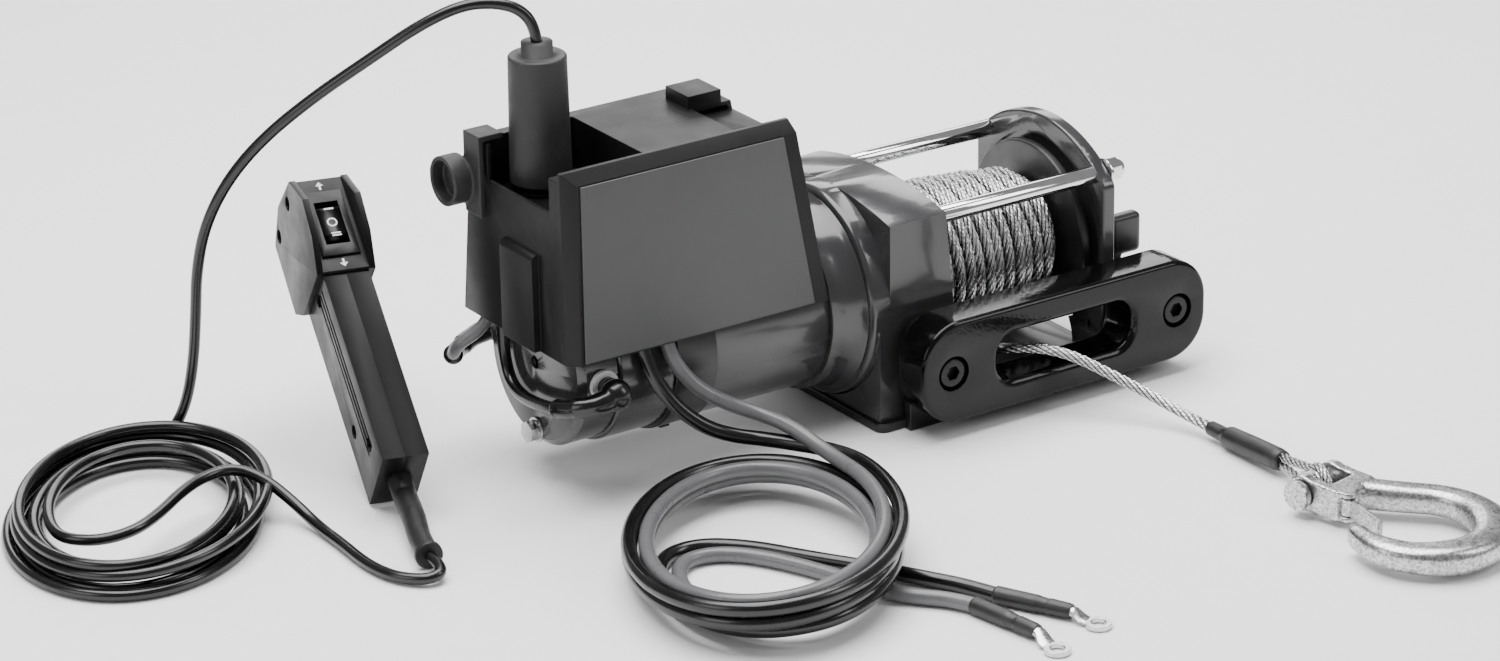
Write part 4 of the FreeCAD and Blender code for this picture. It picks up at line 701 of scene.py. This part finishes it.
# points a millimetre apart along the lead, and the boot's radius by distance
BOOT_LENGTH = 33
BOOT_SHAPE = [(0, 5.2 * MM), (8 * MM, 4.9 * MM), (13 * MM, 4.4 * MM), (19 * MM, 4.7 * MM), (19.5 * MM, 4.2 * MM),
              (29 * MM, 4.1 * MM), (30 * MM, 4.5 * MM), (31.5 * MM, 4.4 * MM), (32 * MM, 3.4 * MM)]


def merge(bm, other):
    """Put another mesh's faces into this one."""
    mesh = new_mesh("joined", other)
    bm.from_mesh(mesh)
    bpy.data.meshes.remove(mesh)


def motor_terminals():
    """Rubber boots over the motor's studs, on pale insulating washers."""
    x, z = -0.218, AXIS_HEIGHT
    for side, name in ((-1, "front"), (1, "back")):
        start = Vector((x, side * 0.0403, z))
        out = Vector((0, side, 0))
        bm = turned([(0, 4.3 * MM), (0.5 * MM, 4.7 * MM), (1.2 * MM, 4.4 * MM), (2.5 * MM, 4.7 * MM),
                     (4 * MM, 4.9 * MM)], start, out)
        ball = bmesh.ops.create_uvsphere(bm, u_segments=32, v_segments=20, radius=7 * MM)["verts"]
        middle = Vector((x, side * 0.048, z - 0.0015))
        bmesh.ops.translate(bm, verts=ball, vec=middle)
        lead = [Vector(p) for p in (FRONT_LEAD if side < 0 else BACK_LEAD)]
        line = evenly(line_of([middle] + lead), 1 * MM)[:BOOT_LENGTH]
        merge(bm, skin(line, round_section(stepped(BOOT_SHAPE))))
        boot = mesh_piece(f"{name}_terminal_boot", bm, "plug_rubber",
                          replaced=("motor_terminals",) if side < 0 else (), material="cord_black")
        soften(boot, 0.45, 8)
        ring = turned([(0, 6.4 * MM), (0.3 * MM, 6.7 * MM), (2.1 * MM, 6.7 * MM), (2.4 * MM, 6.4 * MM)],
                      (x, side * 0.0377, z), out)
        mesh_piece(f"{name}_stud_washer", ring, "plug_rubber", material="pale_washer")


def soften(piece, voxel, rounds):
    """Blend a piece's parts into one moulded skin with soft edges."""
    remesh = piece.modifiers.new("one skin", "REMESH")
    remesh.mode, remesh.voxel_size, remesh.use_smooth_shade = "VOXEL", voxel * MM, True
    smooth = piece.modifiers.new("soft edges", "SMOOTH")
    smooth.factor, smooth.iterations = 0.5, rounds


def forged_hook():
    """The hook: a flat-sided forging that is deepest round the bowl, with ears for the clevis pin."""
    bowl = Vector((57, -2, 0))
    path = [Vector((17, 6, 0)), Vector((28, 13, 0))]
    for number in range(50):
        angle = math.radians(121 - 252 * number / 49)
        path.append(bowl + Vector((29 * math.cos(angle), 29 * math.sin(angle), 0)))
    path = evenly(path, 1.0)
    length = len(path)
    # (distance, half depth in the bowl's plane, half thickness)
    stations = [(0, 6.2, 6.4), (30, 6.6, 6.0), (70, 8.6, 6.6), (105, 8.2, 6.6), (128, 6.6, 5.8),
                (length - 7, 4.6, 5.0), (length - 2, 3.2, 3.8), (length, 1.6, 2.2)]

    def section(distance):
        deep, thick = between(stations, distance)
        ring = []
        for k in range(36):
            angle = TURN * k / 36
            flat = [math.copysign(abs(value) ** 0.72, value) for value in (math.cos(angle), math.sin(angle))]
            ring.append((thick * flat[0], deep * flat[1]))
        return ring

    bm = skin(path, section)
    ear = [(14, -6.8), (14, 6.8)] + [(7.8 * math.cos(math.radians(a)), 7.8 * math.sin(math.radians(a)))
                                     for a in range(64, 297, 8)]
    for top in (-7.2, 12):
        merge(bm, slab_outline(ear, 4.8, Matrix.Translation((0, top, 0))))
    crown = [(11.5, -6.8), (19.5, -6.8), (19.5, 6.8), (11.5, 6.8)]
    merge(bm, slab_outline(crown, 24, Matrix.Translation((0, 12, 0))))
    for low in (-6.8, 4.3):
        cheek = [(17, low), (23, low), (23, low + 2.5), (17, low + 2.5)]
        merge(bm, turned([(0, 4), (2.5, 4)], (21, -7, low), (0, 0, 1)))
        merge(bm, slab_outline(cheek, 8, Matrix.Translation((0, 2, 0))))
    bmesh.ops.transform(bm, matrix=HOOK @ Matrix.Diagonal((MM, MM, MM, 1)), verts=bm.verts)
    soften(mesh_piece("forged_hook", bm, "hook_zinc", "hook", ("hook",)), 0.55, 5)


def front_panel():
    """The grained plate on the front of the control box."""
    corners = [(-0.2315, 0.0690), (-0.1145, 0.0690), (-0.1296, 0.1484), (-0.2315, 0.1484)]
    place = Matrix.Translation((0, -0.0459, 0))
    mesh_piece("front_panel", slab_outline(corners, 1.0 * MM, place, 0.35 * MM), "box_plastic",
               material="front_panel")


def rocker_marks():
    """Bar, ring and double bar on the rocker, and an arrow above and below it."""
    def printed(name, bm, body):
        mesh_piece(name, bm, "switch_plastic", body, material="white_ink")

    def on_rocker(height):
        hollow = math.sqrt(26 ** 2 - height ** 2) - 26
        return HANDSET @ Matrix.Translation((0, (-20.5 + hollow - 0.02) * MM, (121 + height) * MM))

    def bar(width, height, offset):
        return [(-width / 2, offset - height / 2), (width / 2, offset - height / 2),
                (width / 2, offset + height / 2), (-width / 2, offset + height / 2)]

    def in_mm(corners):
        return [(x * MM, z * MM) for x, z in corners]

    printed("mark_forward", slab_outline(in_mm(bar(4.2, 0.8, 0)), 0.08 * MM, on_rocker(6.6)), "rocker")
    printed("mark_back_upper", slab_outline(in_mm(bar(4.2, 0.7, 0)), 0.08 * MM, on_rocker(-6.2)), "rocker")
    printed("mark_back_lower", slab_outline(in_mm(bar(4.2, 0.7, 0)), 0.08 * MM, on_rocker(-7.7)), "rocker")
    bm = bmesh.new()
    count = 36
    spokes = [Vector((math.cos(TURN * k / count), 0, math.sin(TURN * k / count))) for k in range(count)]
    rings = [[bm.verts.new((spoke * radius + Vector((0, depth, 0))) * MM) for spoke in spokes]
             for radius, depth in ((1.6, 0), (2.3, 0), (2.3, -0.08), (1.6, -0.08))]
    bridge(bm, rings + rings[:1])
    bmesh.ops.transform(bm, matrix=on_rocker(0), verts=bm.verts)
    printed("mark_stop", bm, "rocker")
    arrow = [(-0.5, -2), (0.5, -2), (0.5, 0.1), (1.8, 0.1), (0, 2.2), (-1.8, 0.1), (-0.5, 0.1)]
    for name, height, way in (("arrow_in", 141.5, 1), ("arrow_out", 100.6, -1)):
        place = HANDSET @ Matrix.Translation((0, -19.02 * MM, height * MM))
        outline = [(x * way * MM, z * way * MM) for x, z in arrow]
        printed(name, slab_outline(outline, 0.06 * MM, place), "root")


def dress_nodes():
    """Materials and edge work on the CAD nodes that stay in view."""
    bevelled = {"mounting_bracket": 0.5, "gear_housing": 0.9, "end_plate": 0.3, "control_box_cover": 0.55,
                "handset_left_shell": 0.12, "handset_right_shell": 0.12, "rocker_bezel": 0.25, "motor_adapter": 0.5,
                "drum": 0.3, "clutch_dog": 0.2, "motor_can": 0.3, "box_saddle": 0.3, "commutator_housing": 0.4,
                "rear_cover": 0.6, "plug_socket": 0.2, "contactor": 0.4, "fairlead": 0.2, "through_bolts": 0.2,
                "tie_rods": 0.25, "clevis_pin": 0.35, "foot_screws": 0.1, "fairlead_bolts": 0.2}
    softened = {"hook_latch": (0.35, 3), "strain_relief": (0.4, 5), "clutch_lever": (0.5, 6), "dust_cap": (0.45, 8)}
    own_finish = {"plug": "plug_rubber", "strain_relief": "relief"}
    for part in frame["record"]["subparts"]:
        name, slot = part["node"], part["material_slot"]
        node = bpy.data.objects[name]
        node.data.materials.clear()
        node.data.materials.append(MATERIALS[own_finish.get(name, slot)])
        for face in node.data.polygons:
            face.use_smooth = True
        if node.hide_render:
            continue
        if name in softened:
            soften(node, *softened[name])
            continue
        weld = node.modifiers.new("joined corners", "WELD")
        weld.merge_threshold = 0.004 * MM
        if name in bevelled:
            flat = node.modifiers.new("plain faces", "DECIMATE")
            flat.decimate_type, flat.angle_limit = "DISSOLVE", math.radians(0.3)
            edge = node.modifiers.new("broken edges", "BEVEL")
            edge.width, edge.segments = bevelled[name] * MM, 3
            edge.limit_method, edge.angle_limit = "ANGLE", math.radians(32)
            edge.harden_normals = True
        node.data.set_sharp_from_angle(angle=math.radians(32))


MATERIALS = make_materials()
camera()
remote_cord()
supply_cables()
free_rope()
motor_leads()
wound_rope()
motor_terminals()
forged_hook()
front_panel()
rocker_marks()
dress_nodes()
studio()
